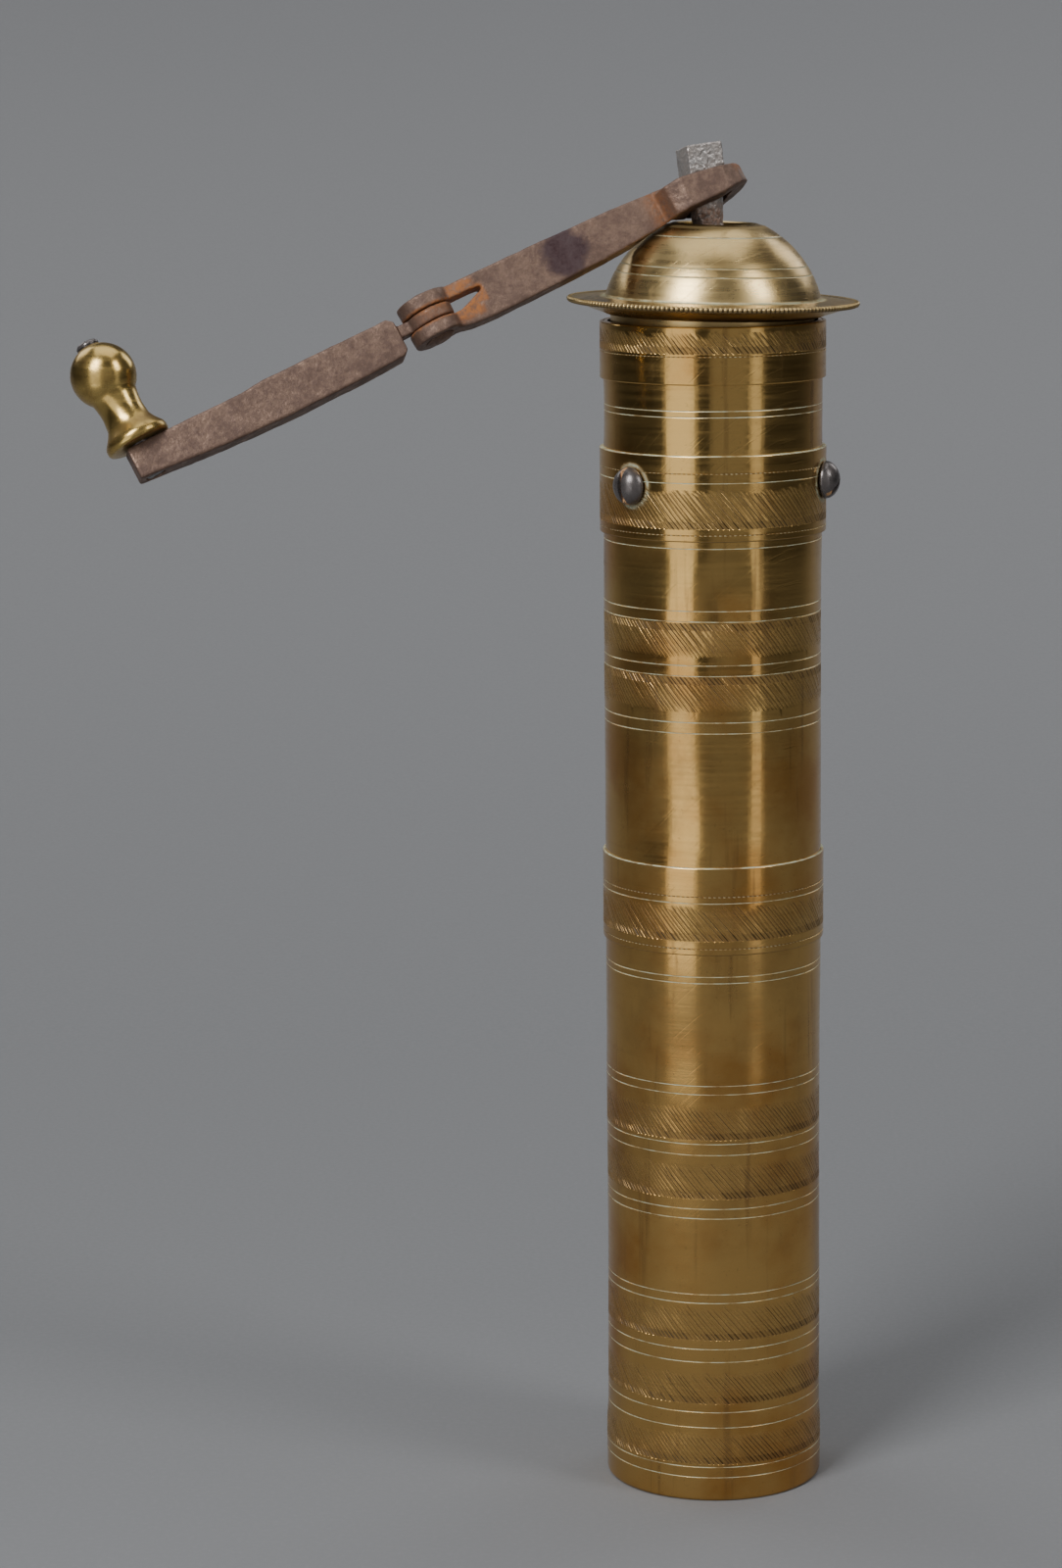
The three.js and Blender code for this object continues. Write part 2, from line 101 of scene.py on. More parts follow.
class Mark(Enum):
    """Vertex attributes that say where something has settled on a surface, and where painted shade and a
    painted glint go.
    """

    RESIDUE = "residue"  # pale polish left in scribed lines and seams
    GRIME_AND_SHADE = "grime"  # dark dirt in engraved strokes and corners, and painted shade under the lid's beaded edge
    RUST_AND_GLINT = "rust"  # bright orange: rusted iron, and a painted copper glint on the screws' slot floors
    HATCH = "hatch"  # where fine slanting lines are engraved


# ------------------------------------------------------------------ modelling helpers


def deselect() -> None:
    """Leaves object mode's selection empty."""
    bpy.ops.object.select_all(action="DESELECT")


def activate(obj: Piece) -> None:
    """Makes one object the only selected and active one."""
    deselect()
    obj.select_set(True)
    bpy.context.view_layer.objects.active = obj


def set_mode(mode: str) -> None:
    """Goes into edit or object mode."""
    bpy.ops.object.mode_set(mode=mode)


def select_mesh(action: str = "SELECT") -> None:
    """In edit mode, selects all of the mesh, or none of it."""
    bpy.ops.mesh.select_all(action=action)


def name_piece(obj: Piece, name: str) -> Piece:
    """Gives an object and its mesh the same name."""
    obj.name = obj.data.name = name
    return obj


def apply_modifier(obj: Piece, kind: str, **settings: object) -> None:
    """Adds a modifier, sets it up and applies it.

    Args:
        obj: The piece to change.
        kind: The modifier's type, such as "BEVEL".
        **settings: Values for the modifier's own properties.
    """
    activate(obj)
    modifier = obj.modifiers.new(kind.title(), kind)
    for key, value in settings.items():
        setattr(modifier, key, value)
    bpy.ops.object.modifier_apply(modifier=modifier.name)


def remesh(obj: Piece, voxel: float) -> None:
    """Turns overlapping shells into one skin of even faces, of a size in millimetres."""
    apply_modifier(obj, "REMESH", mode="VOXEL", voxel_size=voxel * MM, adaptivity=0.0)


def extrude(step: Vector) -> None:
    """In edit mode, extrudes what is selected by a step in metres."""
    bpy.ops.mesh.extrude_region_move(TRANSFORM_OT_translate={"value": step})


def draw_path(name: str, points: Sequence[Vector]) -> Piece:
    """Draws a line from point to point, in metres, and stays in edit mode.

    Args:
        name: The new piece's name.
        points: The corners in order.

    Returns:
        The new object, with only edges.
    """
    deselect()
    bpy.ops.mesh.primitive_plane_add(size=MM)
    obj = name_piece(bpy.context.object, name)
    set_mode("EDIT")
    select_mesh()
    bpy.ops.mesh.merge(type="CENTER")
    bpy.ops.transform.translate(value=points[0])
    for start, end in zip(points, points[1:]):
        extrude(end - start)
    select_mesh()
    return obj


def close_mesh(threshold: float = 2e-6) -> None:
    """In edit mode, merges what coincides and turns all faces outwards."""
    select_mesh()
    bpy.ops.mesh.remove_doubles(threshold=threshold)
    bpy.ops.mesh.dissolve_degenerate(threshold=threshold / 2)
    select_mesh()
    bpy.ops.mesh.normals_make_consistent(inside=False)


def extrude_outline(name: str, outline: Sequence[Point], low: float, high: float, on_edge: bool) -> Piece:
    """Draws a closed outline, fills it and gives it a depth.

    Args:
        name: The new piece's name.
        outline: Corner points in millimetres.
        low: Where the depth starts.
        high: Where the depth ends.
        on_edge: True for an outline in X and Z with its depth along Y; False for one in X and Y.

    Returns:
        The closed slab.
    """
    corners = [Vector((a, low, b) if on_edge else (a, b, low)) * MM for a, b in outline]
    obj = draw_path(name, [*corners, corners[0]])
    bpy.ops.mesh.remove_doubles(threshold=1e-6)
    bpy.ops.mesh.edge_face_add()
    extrude(Vector((0, high - low, 0) if on_edge else (0, 0, high - low)) * MM)
    close_mesh()
    set_mode("OBJECT")
    return obj


def spin_outline(name: str, outline: Sequence[Point], steps: int) -> Piece:
    """Draws an outline from point to point and spins it about the Z axis.

    Args:
        name: The new piece's name.
        outline: [radius, height] points in millimetres; the last one joins the first unless
            both lie on the axis.
        steps: How many faces go round.

    Returns:
        The closed turned piece.
    """
    points = [Vector((r * MM, 0.0, z * MM)) for r, z in outline]
    on_axis = outline[0][0] == 0 and outline[-1][0] == 0
    obj = draw_path(name, points if on_axis else [*points, points[0]])
    bpy.ops.mesh.spin(steps=steps, angle=math.tau, center=(0, 0, 0), axis=(0, 0, 1))
    close_mesh()
    set_mode("OBJECT")
    return obj


def smooth(obj: Piece, angle: float) -> None:
    """Shades a piece smooth, with a break at edges sharper than an angle in degrees."""
    activate(obj)
    bpy.ops.object.shade_smooth_by_angle(angle=math.radians(angle))


def read_points(obj: Piece) -> np.ndarray:
    """A mesh's vertices as an array, in millimetres."""
    flat = np.empty(len(obj.data.vertices) * 3)
    obj.data.vertices.foreach_get("co", flat)
    return flat.reshape(-1, 3) / MM


def write_points(obj: Piece, points: np.ndarray) -> None:
    """Puts an array of millimetre positions back into a mesh."""
    obj.data.vertices.foreach_set("co", (points * MM).ravel())
    obj.data.update()


def polar(points: np.ndarray) -> tuple[np.ndarray, np.ndarray]:
    """Each point's distance from the Z axis and its heading in radians."""
    return np.hypot(points[:, 0], points[:, 1]), np.arctan2(points[:, 1], points[:, 0])


def write_marks(obj: Piece, marks: dict[Mark, np.ndarray]) -> None:
    """Stores numbers from 0 to 1 on the vertices for a material to read.

    Args:
        obj: The piece.
        marks: What is marked, with one value for each vertex.
    """
    for mark, values in marks.items():
        layer = obj.data.attributes.new(mark.value, "FLOAT", "POINT")
        layer.data.foreach_set("value", np.clip(values, 0.0, 1.0).astype(np.float32))


def ease(values: np.ndarray, low: float, high: float) -> np.ndarray:
    """Smooth ramp from 0 at low to 1 at high."""
    t = np.clip((values - low) / (high - low), 0.0, 1.0)
    return t * t * (3.0 - 2.0 * t)


def bell(values: np.ndarray, centre: float, spread: float) -> np.ndarray:
    """Soft bell of height 1 round a centre; spread is in squared millimetres."""
    return np.exp(-((values - centre) ** 2) / spread)


def rotation(degrees: float, axis: str) -> Matrix:
    """A turn about an axis through the origin."""
    return Matrix.Rotation(math.radians(degrees), 4, axis)


def shift(x: float, y: float, z: float) -> Matrix:
    """A move in millimetres."""
    return Matrix.Translation((x * MM, y * MM, z * MM))


def add_box(low: Sequence[float], high: Sequence[float]) -> Piece:
    """A block between two corners in millimetres, as a start to shape from.

    Args:
        low: Its lowest corner.
        high: Its highest corner.

    Returns:
        The block.
    """
    deselect()
    bpy.ops.mesh.primitive_cube_add(size=1.0)
    obj = bpy.context.object
    obj.scale = [(b - a) * MM for a, b in zip(low, high)]
    obj.location = [(a + b) / 2 * MM for a, b in zip(low, high)]
    bpy.ops.object.transform_apply(location=True, rotation=False, scale=True)
    return obj


def add_rod(radius: float, low: float, high: float, x: float = 0.0) -> Piece:
    """A round bar along Z, in millimetres, as a start to shape from.

    Args:
        radius: Its radius.
        low: Its lower end.
        high: Its upper end.
        x: Where its axis stands along X.

    Returns:
        The bar.
    """
    deselect()
    bpy.ops.mesh.primitive_cylinder_add(
        vertices=48, radius=radius * MM, depth=(high - low) * MM, location=(x * MM, 0.0, (low + high) / 2 * MM),
    )
    bpy.ops.object.transform_apply(location=True, rotation=True, scale=True)
    return bpy.context.object


def turn(obj: Piece, matrix: Matrix) -> Piece:
    """Moves a piece's mesh by a matrix and leaves its object at the origin."""
    obj.data.transform(matrix)
    obj.data.update()
    return obj


def combine(obj: Piece, others: Iterable[Piece], operation: str = "DIFFERENCE") -> None:
    """Cuts a piece with closed shapes, or keeps what they share, and deletes them.

    Args:
        obj: The piece to change.
        others: The closed shapes.
        operation: "DIFFERENCE" or "INTERSECT".
    """
    for other in others:
        apply_modifier(obj, "BOOLEAN", operation=operation, solver="EXACT", object=other)
        bpy.data.objects.remove(other)


def weld_all(name: str, parts: Sequence[Piece]) -> Piece:
    """Joins overlapping shapes into one object, still as separate shells.

    Args:
        name: The joined piece's name.
        parts: The shapes, of which the first takes in the others.

    Returns:
        The joined piece.
    """
    deselect()
    for part in parts:
        part.select_set(True)
    bpy.context.view_layer.objects.active = parts[0]
    bpy.ops.object.join()
    return name_piece(bpy.context.object, name)


def roughen(obj: Piece, label: str, size: float, strength: float) -> None:
    """Moves a surface in and out by a cloudy pattern.

    Args:
        obj: The piece.
        label: The pattern's name.
        size: Size of the pattern, in millimetres.
        strength: The whole movement from lowest to highest, in millimetres.
    """
    texture = bpy.data.textures.new(label, "CLOUDS")
    texture.noise_scale = size * MM
    texture.noise_depth = 2
    pattern = {"texture": texture, "texture_coords": "LOCAL"}
    apply_modifier(obj, "DISPLACE", **pattern, strength=strength * MM, mid_level=0.5)


def forge(obj: Piece, voxel: float, rounding: int, dents: float, pits: float) -> None:
    """Turns joined shapes into one hand-forged surface.

    Args:
        obj: The joined shapes.
        voxel: Size of the new faces, in millimetres.
        rounding: How many smoothing passes wear the edges down.
        dents: Depth of the hammer marks, in millimetres.
        pits: Depth of the fine pitting, in millimetres.
    """
    remesh(obj, voxel)
    apply_modifier(obj, "SMOOTH", factor=0.5, iterations=rounding)
    roughen(obj, f"{obj.name}_hammer_marks", 5.0, 2 * dents)
    roughen(obj, f"{obj.name}_pitting", 0.7, 2 * pits)


def dress(obj: Piece, finish: Material) -> None:
    """Gives a piece its finish."""
    obj.data.materials.clear()
    obj.data.materials.append(finish)


def ride(obj: Piece, body: Body, node: str, finish: Material) -> None:
    """Hands a finished piece to the frame and gives it its finish.

    Args:
        obj: The piece.
        body: What it moves with.
        node: The CAD node that it stands for.
        finish: Its material.
    """
    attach(obj, body.value)
    dress(obj, finish)
    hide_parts(node)
    LOG.info("%s: %d faces, rides on %s", obj.name, len(obj.data.polygons), body.value)


# ------------------------------------------------------------------ finishes


def rgba(colour: Colour) -> tuple[float, float, float, float]:
    """An opaque colour."""
    return (*colour, 1.0)


class Shader:
    """A small hand for wiring one node tree."""

    def __init__(self, tree: Tree) -> None:
        """Keeps the tree that nodes are added to."""
        self.tree = tree

    def node(self, kind: str, links: dict | None = None, **settings: object) -> bpy.types.Node:
        """Adds a node, sets its properties, and fills its inputs.

        Args:
            kind: The node's type name without the "ShaderNode" in front.
            links: Input name or index to a plain value or to another node's output.
            **settings: Values for the node's own properties.

        Returns:
            The new node.
        """
        node = self.tree.nodes.new(f"ShaderNode{kind}")
        for key, value in settings.items():
            setattr(node, key, value)
        for key, value in (links or {}).items():
            if isinstance(value, Socket):
                self.tree.links.new(value, node.inputs[key])
            else:
                node.inputs[key].default_value = value
        return node

    def group(self, tree: Tree, links: dict) -> Outputs:
        """Places a shared effect and gives its outputs."""
        return self.node("Group", links, node_tree=tree).outputs

    def math(self, operation: str, first: object, second: object, clamp: bool = False) -> Socket:
        """One sum of two values."""
        return self.node("Math", {0: first, 1: second}, operation=operation, use_clamp=clamp).outputs[0]

    def times(self, first: object, second: object, clamp: bool = False) -> Socket:
        """One value multiplied by another."""
        return self.math("MULTIPLY", first, second, clamp)

    def plus(self, first: object, second: object, clamp: bool = False) -> Socket:
        """One value added to another."""
        return self.math("ADD", first, second, clamp)

    def minus(self, first: object, second: object, clamp: bool = False) -> Socket:
        """One value taken from another."""
        return self.math("SUBTRACT", first, second, clamp)

    def split(self, vector: Socket) -> Outputs:
        """A vector's X, Y and Z."""
        return self.node("SeparateXYZ", {"Vector": vector}).outputs

    def mapped(self, vector: Socket, **change: tuple) -> Socket:
        """A vector moved, turned or scaled, by its Location, Rotation or Scale."""
        return self.node("Mapping", {"Vector": vector, **change}).outputs["Vector"]

    def noise(self, vector: Socket, scale: object, detail: float = 4.0, rough: float = 0.55) -> Socket:
        """Fractal noise between 0 and 1."""
        links = {"Vector": vector, "Scale": scale, "Detail": detail, "Roughness": rough}
        return self.node("TexNoise", links).outputs["Fac"]

    def streaks(
        self, vector: Socket, across: float, up: float, detail: float = 3.0, rough: float = 0.6,
    ) -> Socket:
        """Noise with its own scales across and up, so that it runs in streaks."""
        return self.noise(self.mapped(vector, Scale=(across, across, up)), 1.0, detail, rough)

    def ramp(self, value: Socket, low: object, high: object, amount: object = None) -> Socket:
        """Smooth step of a value from low to high, as 0 to 1 or to an amount."""
        links = {"Value": value, "From Min": low, "From Max": high}
        step = self.node("MapRange", links, interpolation_type="SMOOTHSTEP").outputs["Result"]
        return step if amount is None else self.times(step, amount)

    def mix(self, factor: object, first: object, second: object) -> Socket:
        """Blend of two colours."""
        return self.node("Mix", {0: factor, 6: first, 7: second}, data_type="RGBA").outputs[2]


class Effect(Shader):
    """A shared shader node group while it is wired."""

    def __init__(self, name: str, inputs: dict[str, object]) -> None:
        """Starts the group with its inputs.

        Args:
            name: The group's name.
            inputs: Input name to its starting value: a number, a colour, or None for a vector.
        """
        super().__init__(bpy.data.node_groups.new(name, "ShaderNodeTree"))
        for label, value in inputs.items():
            kind = "Vector" if value is None else "Color" if isinstance(value, tuple) else "Float"
            socket = self.tree.interface.new_socket(label, in_out="INPUT", socket_type=f"NodeSocket{kind}")
            if value is not None:
                socket.default_value = value
        self.given = self.tree.nodes.new("NodeGroupInput").outputs

    def finish(self, **outputs: Socket) -> Tree:
        """Gives the group its outputs: Color as a colour, the others as numbers.

        Args:
            **outputs: Output name to what it puts out.

        Returns:
            The finished group.
        """
        for label in outputs:
            kind = "Color" if label == "Color" else "Float"
            self.tree.interface.new_socket(label, in_out="OUTPUT", socket_type=f"NodeSocket{kind}")
        out = self.tree.nodes.new("NodeGroupOutput")
        for label, socket in outputs.items():
            self.tree.links.new(socket, out.inputs[label])
        return self.tree


class Surface(Shader):
    """A material while it is wired: its shader and the piece's own coordinates."""

    def __init__(self, name: str) -> None:
        """Starts the material with its shader wired to the output."""
        self.material = bpy.data.materials.new(name)
        self.material.use_nodes = True
        self.material.node_tree.nodes.clear()
        super().__init__(self.material.node_tree)
        self.shader = self.node("BsdfPrincipled")
        self.node("OutputMaterial", {"Surface": self.shader.outputs["BSDF"]})
        self.where = self.node("TexCoord").outputs["Object"]

    def marked(self, mark: Mark) -> Socket:
        """How strongly each place is marked."""
        return self.node("Attribute", attribute_name=mark.value).outputs["Fac"]

    def finish(self, colour: Socket, look: Outputs, height: Socket, strength: float) -> Material:
        """Wires the shader's inputs.

        Args:
            colour: The base colour.
            look: An effect's outputs, with a roughness and a metallic value.
            height: The pattern that roughens the surface.
            strength: How strongly it does so.

        Returns:
            The finished material.
        """
        relief = self.node("Bump", {"Height": height, "Strength": strength, "Distance": 0.2 * MM})
        for socket, label in (
            (colour, "Base Color"), (look["Roughness"], "Roughness"), (look["Metallic"], "Metallic"),
            (relief.outputs["Normal"], "Normal"),
        ):
            self.tree.links.new(socket, self.shader.inputs[label])
        return self.material


def tarnish_group() -> Tree:
    """Old handled metal: clean, warm and dark patches, with wiped streaks round the piece."""
    hand = Effect("tarnish", {
        "Vector": None, "Clean": (0.7, 0.5, 0.2, 1), "Warm": (0.4, 0.2, 0.08, 1), "Dark": (0.15, 0.09, 0.04, 1),
        "Patch Scale": 60.0, "Warm Amount": 0.5, "Dark Amount": 0.3, "Warm From": 0.0, "Warm To": -1.0,
        "Polish": 0.25,
    })
    given, where = hand.given, hand.given["Vector"]
    patches = hand.noise(where, given["Patch Scale"], 5.0, 0.6)
    shifted = hand.mapped(where, Location=(0.31, 0.17, 0.05))
    blotches = hand.noise(shifted, hand.times(given["Patch Scale"], 0.55), 6.0, 0.65)
    streaks = hand.streaks(where, 35.0, 900.0)
    specks = hand.noise(where, 1500.0, 2.0, 0.5)
    runs = hand.streaks(where, 300.0, 16.0)
    scratches = hand.streaks(hand.mapped(where, Rotation=(0.6, 0.6, 0.0)), 60.0, 1800.0, 2.0, 0.5)

    lower = hand.ramp(hand.split(where)["Z"], given["Warm From"], given["Warm To"], 0.2)
    warm = hand.plus(hand.ramp(patches, 0.42, 0.72, given["Warm Amount"]), lower, True)
    dark = hand.ramp(blotches, 0.5, 0.78, given["Dark Amount"])
    dark = hand.plus(dark, hand.ramp(runs, 0.56, 0.72, 0.4), True)
    colour = hand.mix(warm, given["Clean"], given["Warm"])
    colour = hand.mix(hand.plus(dark, hand.ramp(streaks, 0.6, 0.8, 0.12), True), colour, given["Dark"])
    colour = hand.mix(hand.ramp(specks, 0.66, 0.74, 0.35), colour, given["Dark"])
    rough = hand.plus(given["Polish"], hand.times(dark, 0.22))
    rough = hand.plus(rough, hand.ramp(streaks, 0.35, 0.75, 0.09))
    height = hand.plus(hand.times(streaks, 0.6), hand.times(specks, 0.25))
    height = hand.plus(height, hand.ramp(scratches, 0.62, 0.7, -0.35))
    return hand.finish(Color=colour, Roughness=rough, Height=height)


def settled_group() -> Tree:
    """Pale polish residue and dark grime that have settled in grooves and corners, plus painted shade under the
    lid's beaded edge, which comes in with the grime.
    """
    hand = Effect("settled", {
        "Vector": None, "Color": (0.5, 0.4, 0.2, 1), "Roughness": 0.3, "Residue": 0.0, "Dirt And Shade": 0.0,
        "Residue Color": (0.5, 0.6, 0.5, 1), "Dirt And Shade Color": (0.03, 0.02, 0.012, 1),
    })
    given, where = hand.given, hand.given["Vector"]
    broken = hand.plus(hand.ramp(hand.noise(where, 330.0, 4.0, 0.65), 0.3, 0.65, 0.7), 0.3)
    pale = hand.times(given["Residue"], broken, True)
    # Darkens by the grime mark: dirt in grooves, and painted shade under the lid's beaded edge.
    dirt_and_shade = hand.times(given["Dirt And Shade"], hand.ramp(hand.noise(where, 300.0, 3.0), 0.05, 0.4), True)
    colour = hand.mix(dirt_and_shade, given["Color"], given["Dirt And Shade Color"])
    colour = hand.mix(pale, colour, given["Residue Color"])
    covered = hand.math("MAXIMUM", pale, hand.times(dirt_and_shade, 0.7))
    rough = hand.plus(given["Roughness"], hand.times(covered, 0.45), True)
    return hand.finish(Color=colour, Roughness=rough, Metallic=hand.minus(1.0, hand.times(covered, 0.9)))


def hatching_group() -> Tree:
    """Fine engraved lines that slant round a tube about the Z axis."""
    hand = Effect("hatching", {"Vector": None, "Amount": 0.0, "Lines": 288.0, "Slant": 34.0})
    given, where = hand.given, hand.given["Vector"]
    place = hand.split(where)
    angle = hand.math("ARCTAN2", place["Y"], place["X"])
    phase = hand.times(hand.plus(angle, hand.times(place["Z"], given["Slant"])), given["Lines"])
    phase = hand.plus(phase, hand.times(hand.noise(where, 140.0, 2.0), 1.8))
    line = hand.ramp(hand.math("SINE", phase, 0.0), 0.15, 0.75)
    broken = hand.plus(hand.ramp(hand.noise(where, 230.0, 3.0), 0.35, 0.65), 0.45, True)
    return hand.finish(Mask=hand.times(hand.times(line, broken), given["Amount"], True))


def corrosion_group() -> Tree:
    """Forged iron: mottled brown scale, fine pitting, and orange where it is marked: rusted spots on the arms
    and spindle, and a painted copper glint on the screws' slot floors.
    """
    hand = Effect("corrosion", {
        "Vector": None, "Iron": (0.3, 0.28, 0.26, 1), "Scale Color": (0.16, 0.09, 0.06, 1),
        "Oxide And Glint Color": (0.42, 0.16, 0.05, 1), "Scale Amount": 0.6, "Oxide And Glint": 0.0, "Base Roughness": 0.5,
    })
    given, where = hand.given, hand.given["Vector"]
    mottle = hand.noise(where, 210.0, 6.0, 0.8)
    grain = hand.noise(where, 900.0, 4.0, 0.7)
    grit = hand.noise(where, 2600.0, 2.0, 0.6)
    mottled = hand.ramp(hand.plus(mottle, hand.times(grain, 0.4)), 0.45, 0.84)
    scaled = hand.times(mottled, given["Scale Amount"], True)
    # Orange where marked: rusted iron on the arms and spindle, painted copper glint in the screw slots.
    rust_and_glint_amount = hand.times(given["Oxide And Glint"], hand.ramp(grain, 0.3, 0.6), True)
    colour = hand.mix(scaled, given["Iron"], given["Scale Color"])
    colour = hand.mix(hand.ramp(grit, 0.62, 0.75, 0.5), colour, given["Scale Color"])
    colour = hand.mix(rust_and_glint_amount, colour, given["Oxide And Glint Color"])
    rough = hand.plus(given["Base Roughness"], hand.times(scaled, 0.2), True)
    rough = hand.plus(rough, hand.times(rust_and_glint_amount, 0.3), True)
    metal = hand.minus(1.0, hand.math("MAXIMUM", hand.times(scaled, 0.75), rust_and_glint_amount), True)
    height = hand.plus(hand.times(grain, 0.7), hand.times(grit, 0.4))
    return hand.finish(Color=colour, Roughness=rough, Metallic=metal, Height=height)


@dataclass(frozen=True)
class BrassFinish:
    """Brass with patina, wiped scratches, and what has settled in its grooves."""

    name: str
    clean: Colour
    warm: Colour
    dark: Colour
    patch_scale: float
    warm_amount: float
    dark_amount: float
    polish: float
    warm_heights: Point = (0.0, -1.0)  # where it starts and ends turning browner downwards, in metres
    residue: Colour = (0.50, 0.58, 0.45)
    # colour of dirt in grooves, also used as painted shade under the lid's beaded edge
    grime: Colour = (0.04, 0.023, 0.011)
    bump: float = 0.05
    hatch_grime: float = 0.25  # how dirty the fine hatched lines are
    hatch_depth: float = 3.0

    def material(self, groups: Groups) -> Material:
        """Builds the material.

        Args:
            groups: The shared effects by name.

        Returns:
            The finished material.
        """
        hand = Surface(self.name)
        where = hand.where
        tarnish = hand.group(groups["tarnish"], {
            "Vector": where, "Clean": rgba(self.clean), "Warm": rgba(self.warm), "Dark": rgba(self.dark),
            "Patch Scale": self.patch_scale, "Warm Amount": self.warm_amount, "Dark Amount": self.dark_amount,
            "Warm From": self.warm_heights[0], "Warm To": self.warm_heights[1], "Polish": self.polish,
        })
        mask = hand.group(groups["hatching"], {"Vector": where, "Amount": hand.marked(Mark.HATCH)})["Mask"]
        settled = hand.group(groups["settled"], {
            "Vector": where, "Color": tarnish["Color"], "Roughness": tarnish["Roughness"],
            "Residue": hand.marked(Mark.RESIDUE),
            "Dirt And Shade": hand.plus(hand.marked(Mark.GRIME_AND_SHADE), hand.times(mask, self.hatch_grime), True),
            "Residue Color": rgba(self.residue), "Dirt And Shade Color": rgba(self.grime),
        })
        height = hand.minus(tarnish["Height"], hand.times(mask, self.hatch_depth))
        return hand.finish(settled["Color"], settled, height, self.bump)


@dataclass(frozen=True)
class IronFinish:
    """Bare or rusted iron; on the screws the marked orange is a painted copper glint in the slots."""

    name: str
    iron: Colour
    scale: Colour
    scale_amount: float
    roughness: float
    # orange of rusted spots; on the screws, the colour of the painted glint in their slots
    rust: Colour = (0.34, 0.125, 0.035)
    bump: float = 0.16
    stain: Colour | None = None  # colour of one darker patch on the inner arm
    stain_place: tuple[float, float, float] = (-0.0335, -0.0125, 0.2885)
    stain_reach: Point = (0.0098, 0.0072)  # where the patch ends and where it is full, in metres
    stain_raggedness: float = 0.006

    def material(self, groups: Groups) -> Material:
        """Builds the material.

        Args:
            groups: The shared effects by name.

        Returns:
            The finished material.
        """
        hand = Surface(self.name)
        corrosion = hand.group(groups["corrosion"], {
            "Vector": hand.where, "Iron": rgba(self.iron), "Scale Color": rgba(self.scale),
            "Oxide And Glint Color": rgba(self.rust), "Scale Amount": self.scale_amount, "Oxide And Glint": hand.marked(Mark.RUST_AND_GLINT),
            "Base Roughness": self.roughness,
        })
        colour = corrosion["Color"]
        if self.stain:
            away = hand.node("VectorMath", {0: hand.where, 1: self.stain_place}, operation="DISTANCE")
            ragged = hand.times(hand.noise(hand.where, 220.0, 3.0), self.stain_raggedness)
            stained = hand.ramp(hand.plus(away.outputs["Value"], ragged), *self.stain_reach)
            colour = hand.mix(stained, colour, rgba(self.stain))
        return hand.finish(colour, corrosion, corrosion["Height"], self.bump)


class Finishes:
    """Every finish of the mill, built once."""

    def __init__(self) -> None:
        """Builds the shared effects and the materials."""
        groups = {
            "tarnish": tarnish_group(), "settled": settled_group(),
            "hatching": hatching_group(), "corrosion": corrosion_group(),
        }
        self.tube = BrassFinish(
            "patinated_tube_brass", clean=(0.67, 0.425, 0.14), warm=(0.52, 0.255, 0.065),
            dark=(0.23, 0.125, 0.05), patch_scale=34.0, warm_amount=0.85, dark_amount=0.6, polish=0.14,
            warm_heights=(0.19, 0.06), bump=0.11,
        ).material(groups)
        self.lid = BrassFinish(
            "satin_lid_brass", clean=(0.60, 0.44, 0.20), warm=(0.50, 0.325, 0.12), dark=(0.27, 0.175, 0.07),
            patch_scale=60.0, warm_amount=0.5, dark_amount=0.35, polish=0.26, bump=0.2,
        ).material(groups)
        self.knob = BrassFinish(
            "handled_knob_brass", clean=(0.60, 0.42, 0.14), warm=(0.42, 0.25, 0.075), dark=(0.14, 0.08, 0.03),
            patch_scale=150.0, warm_amount=0.6, dark_amount=0.7, polish=0.2,
        ).material(groups)
        self.forged = IronFinish(
            "forged_brown_iron", iron=(0.27, 0.18, 0.135), scale=(0.075, 0.04, 0.029), scale_amount=0.85,
            roughness=0.4, stain=(0.062, 0.036, 0.038), bump=0.8,
        ).material(groups)
        self.spindle = IronFinish(
            "pitted_spindle_iron", iron=(0.60, 0.575, 0.55), scale=(0.16, 0.11, 0.085), scale_amount=0.55,
            roughness=0.3, bump=1.0,
        ).material(groups)
        # The screws' marked orange is a painted copper glint on their slot floors.
        self.screw = IronFinish(
            "dark_screw_steel", iron=(0.21, 0.195, 0.19), scale=(0.055, 0.04, 0.036), scale_amount=0.6,
            roughness=0.2, bump=0.08, rust=(0.55, 0.3, 0.13),
        ).material(groups)
        self.burr = IronFinish(
            "burr_iron", iron=(0.2, 0.19, 0.18), scale=(0.1, 0.07, 0.05), scale_amount=0.7, roughness=0.5,
        ).material(groups)


# ------------------------------------------------------------------ engraved tubes

COLUMNS = 3  # columns of vertices for each stroke: two lips with the bottom between them
LIPS = (0.0, 0.19, 0.38)  # where a stroke's columns stand in its pitch; the rest is land
LINE_FLOOR = 0.35  # how much of a scribed line's width is its flat bottom
HALO_RADIUS, HALO_WIDTH = 4.75, 0.4
LOOSE_FADE = 4.0


@dataclass(frozen=True)
class Hatch:
    """A band of slanting engraved strokes between two heights."""

    low: float
    high: float
    ticks_low: bool = True  # the deeper row of ticks is along the lower edge
    tick_height: float = 1.6
    depth: float = 0.06
    ticks: float = 0.15

    def tick_zone(self) -> Point:
        """The heights between which the deeper ticks are cut."""
        if self.ticks_low:
            return (self.low, self.low + self.tick_height)
        return (self.high - self.tick_height, self.high)


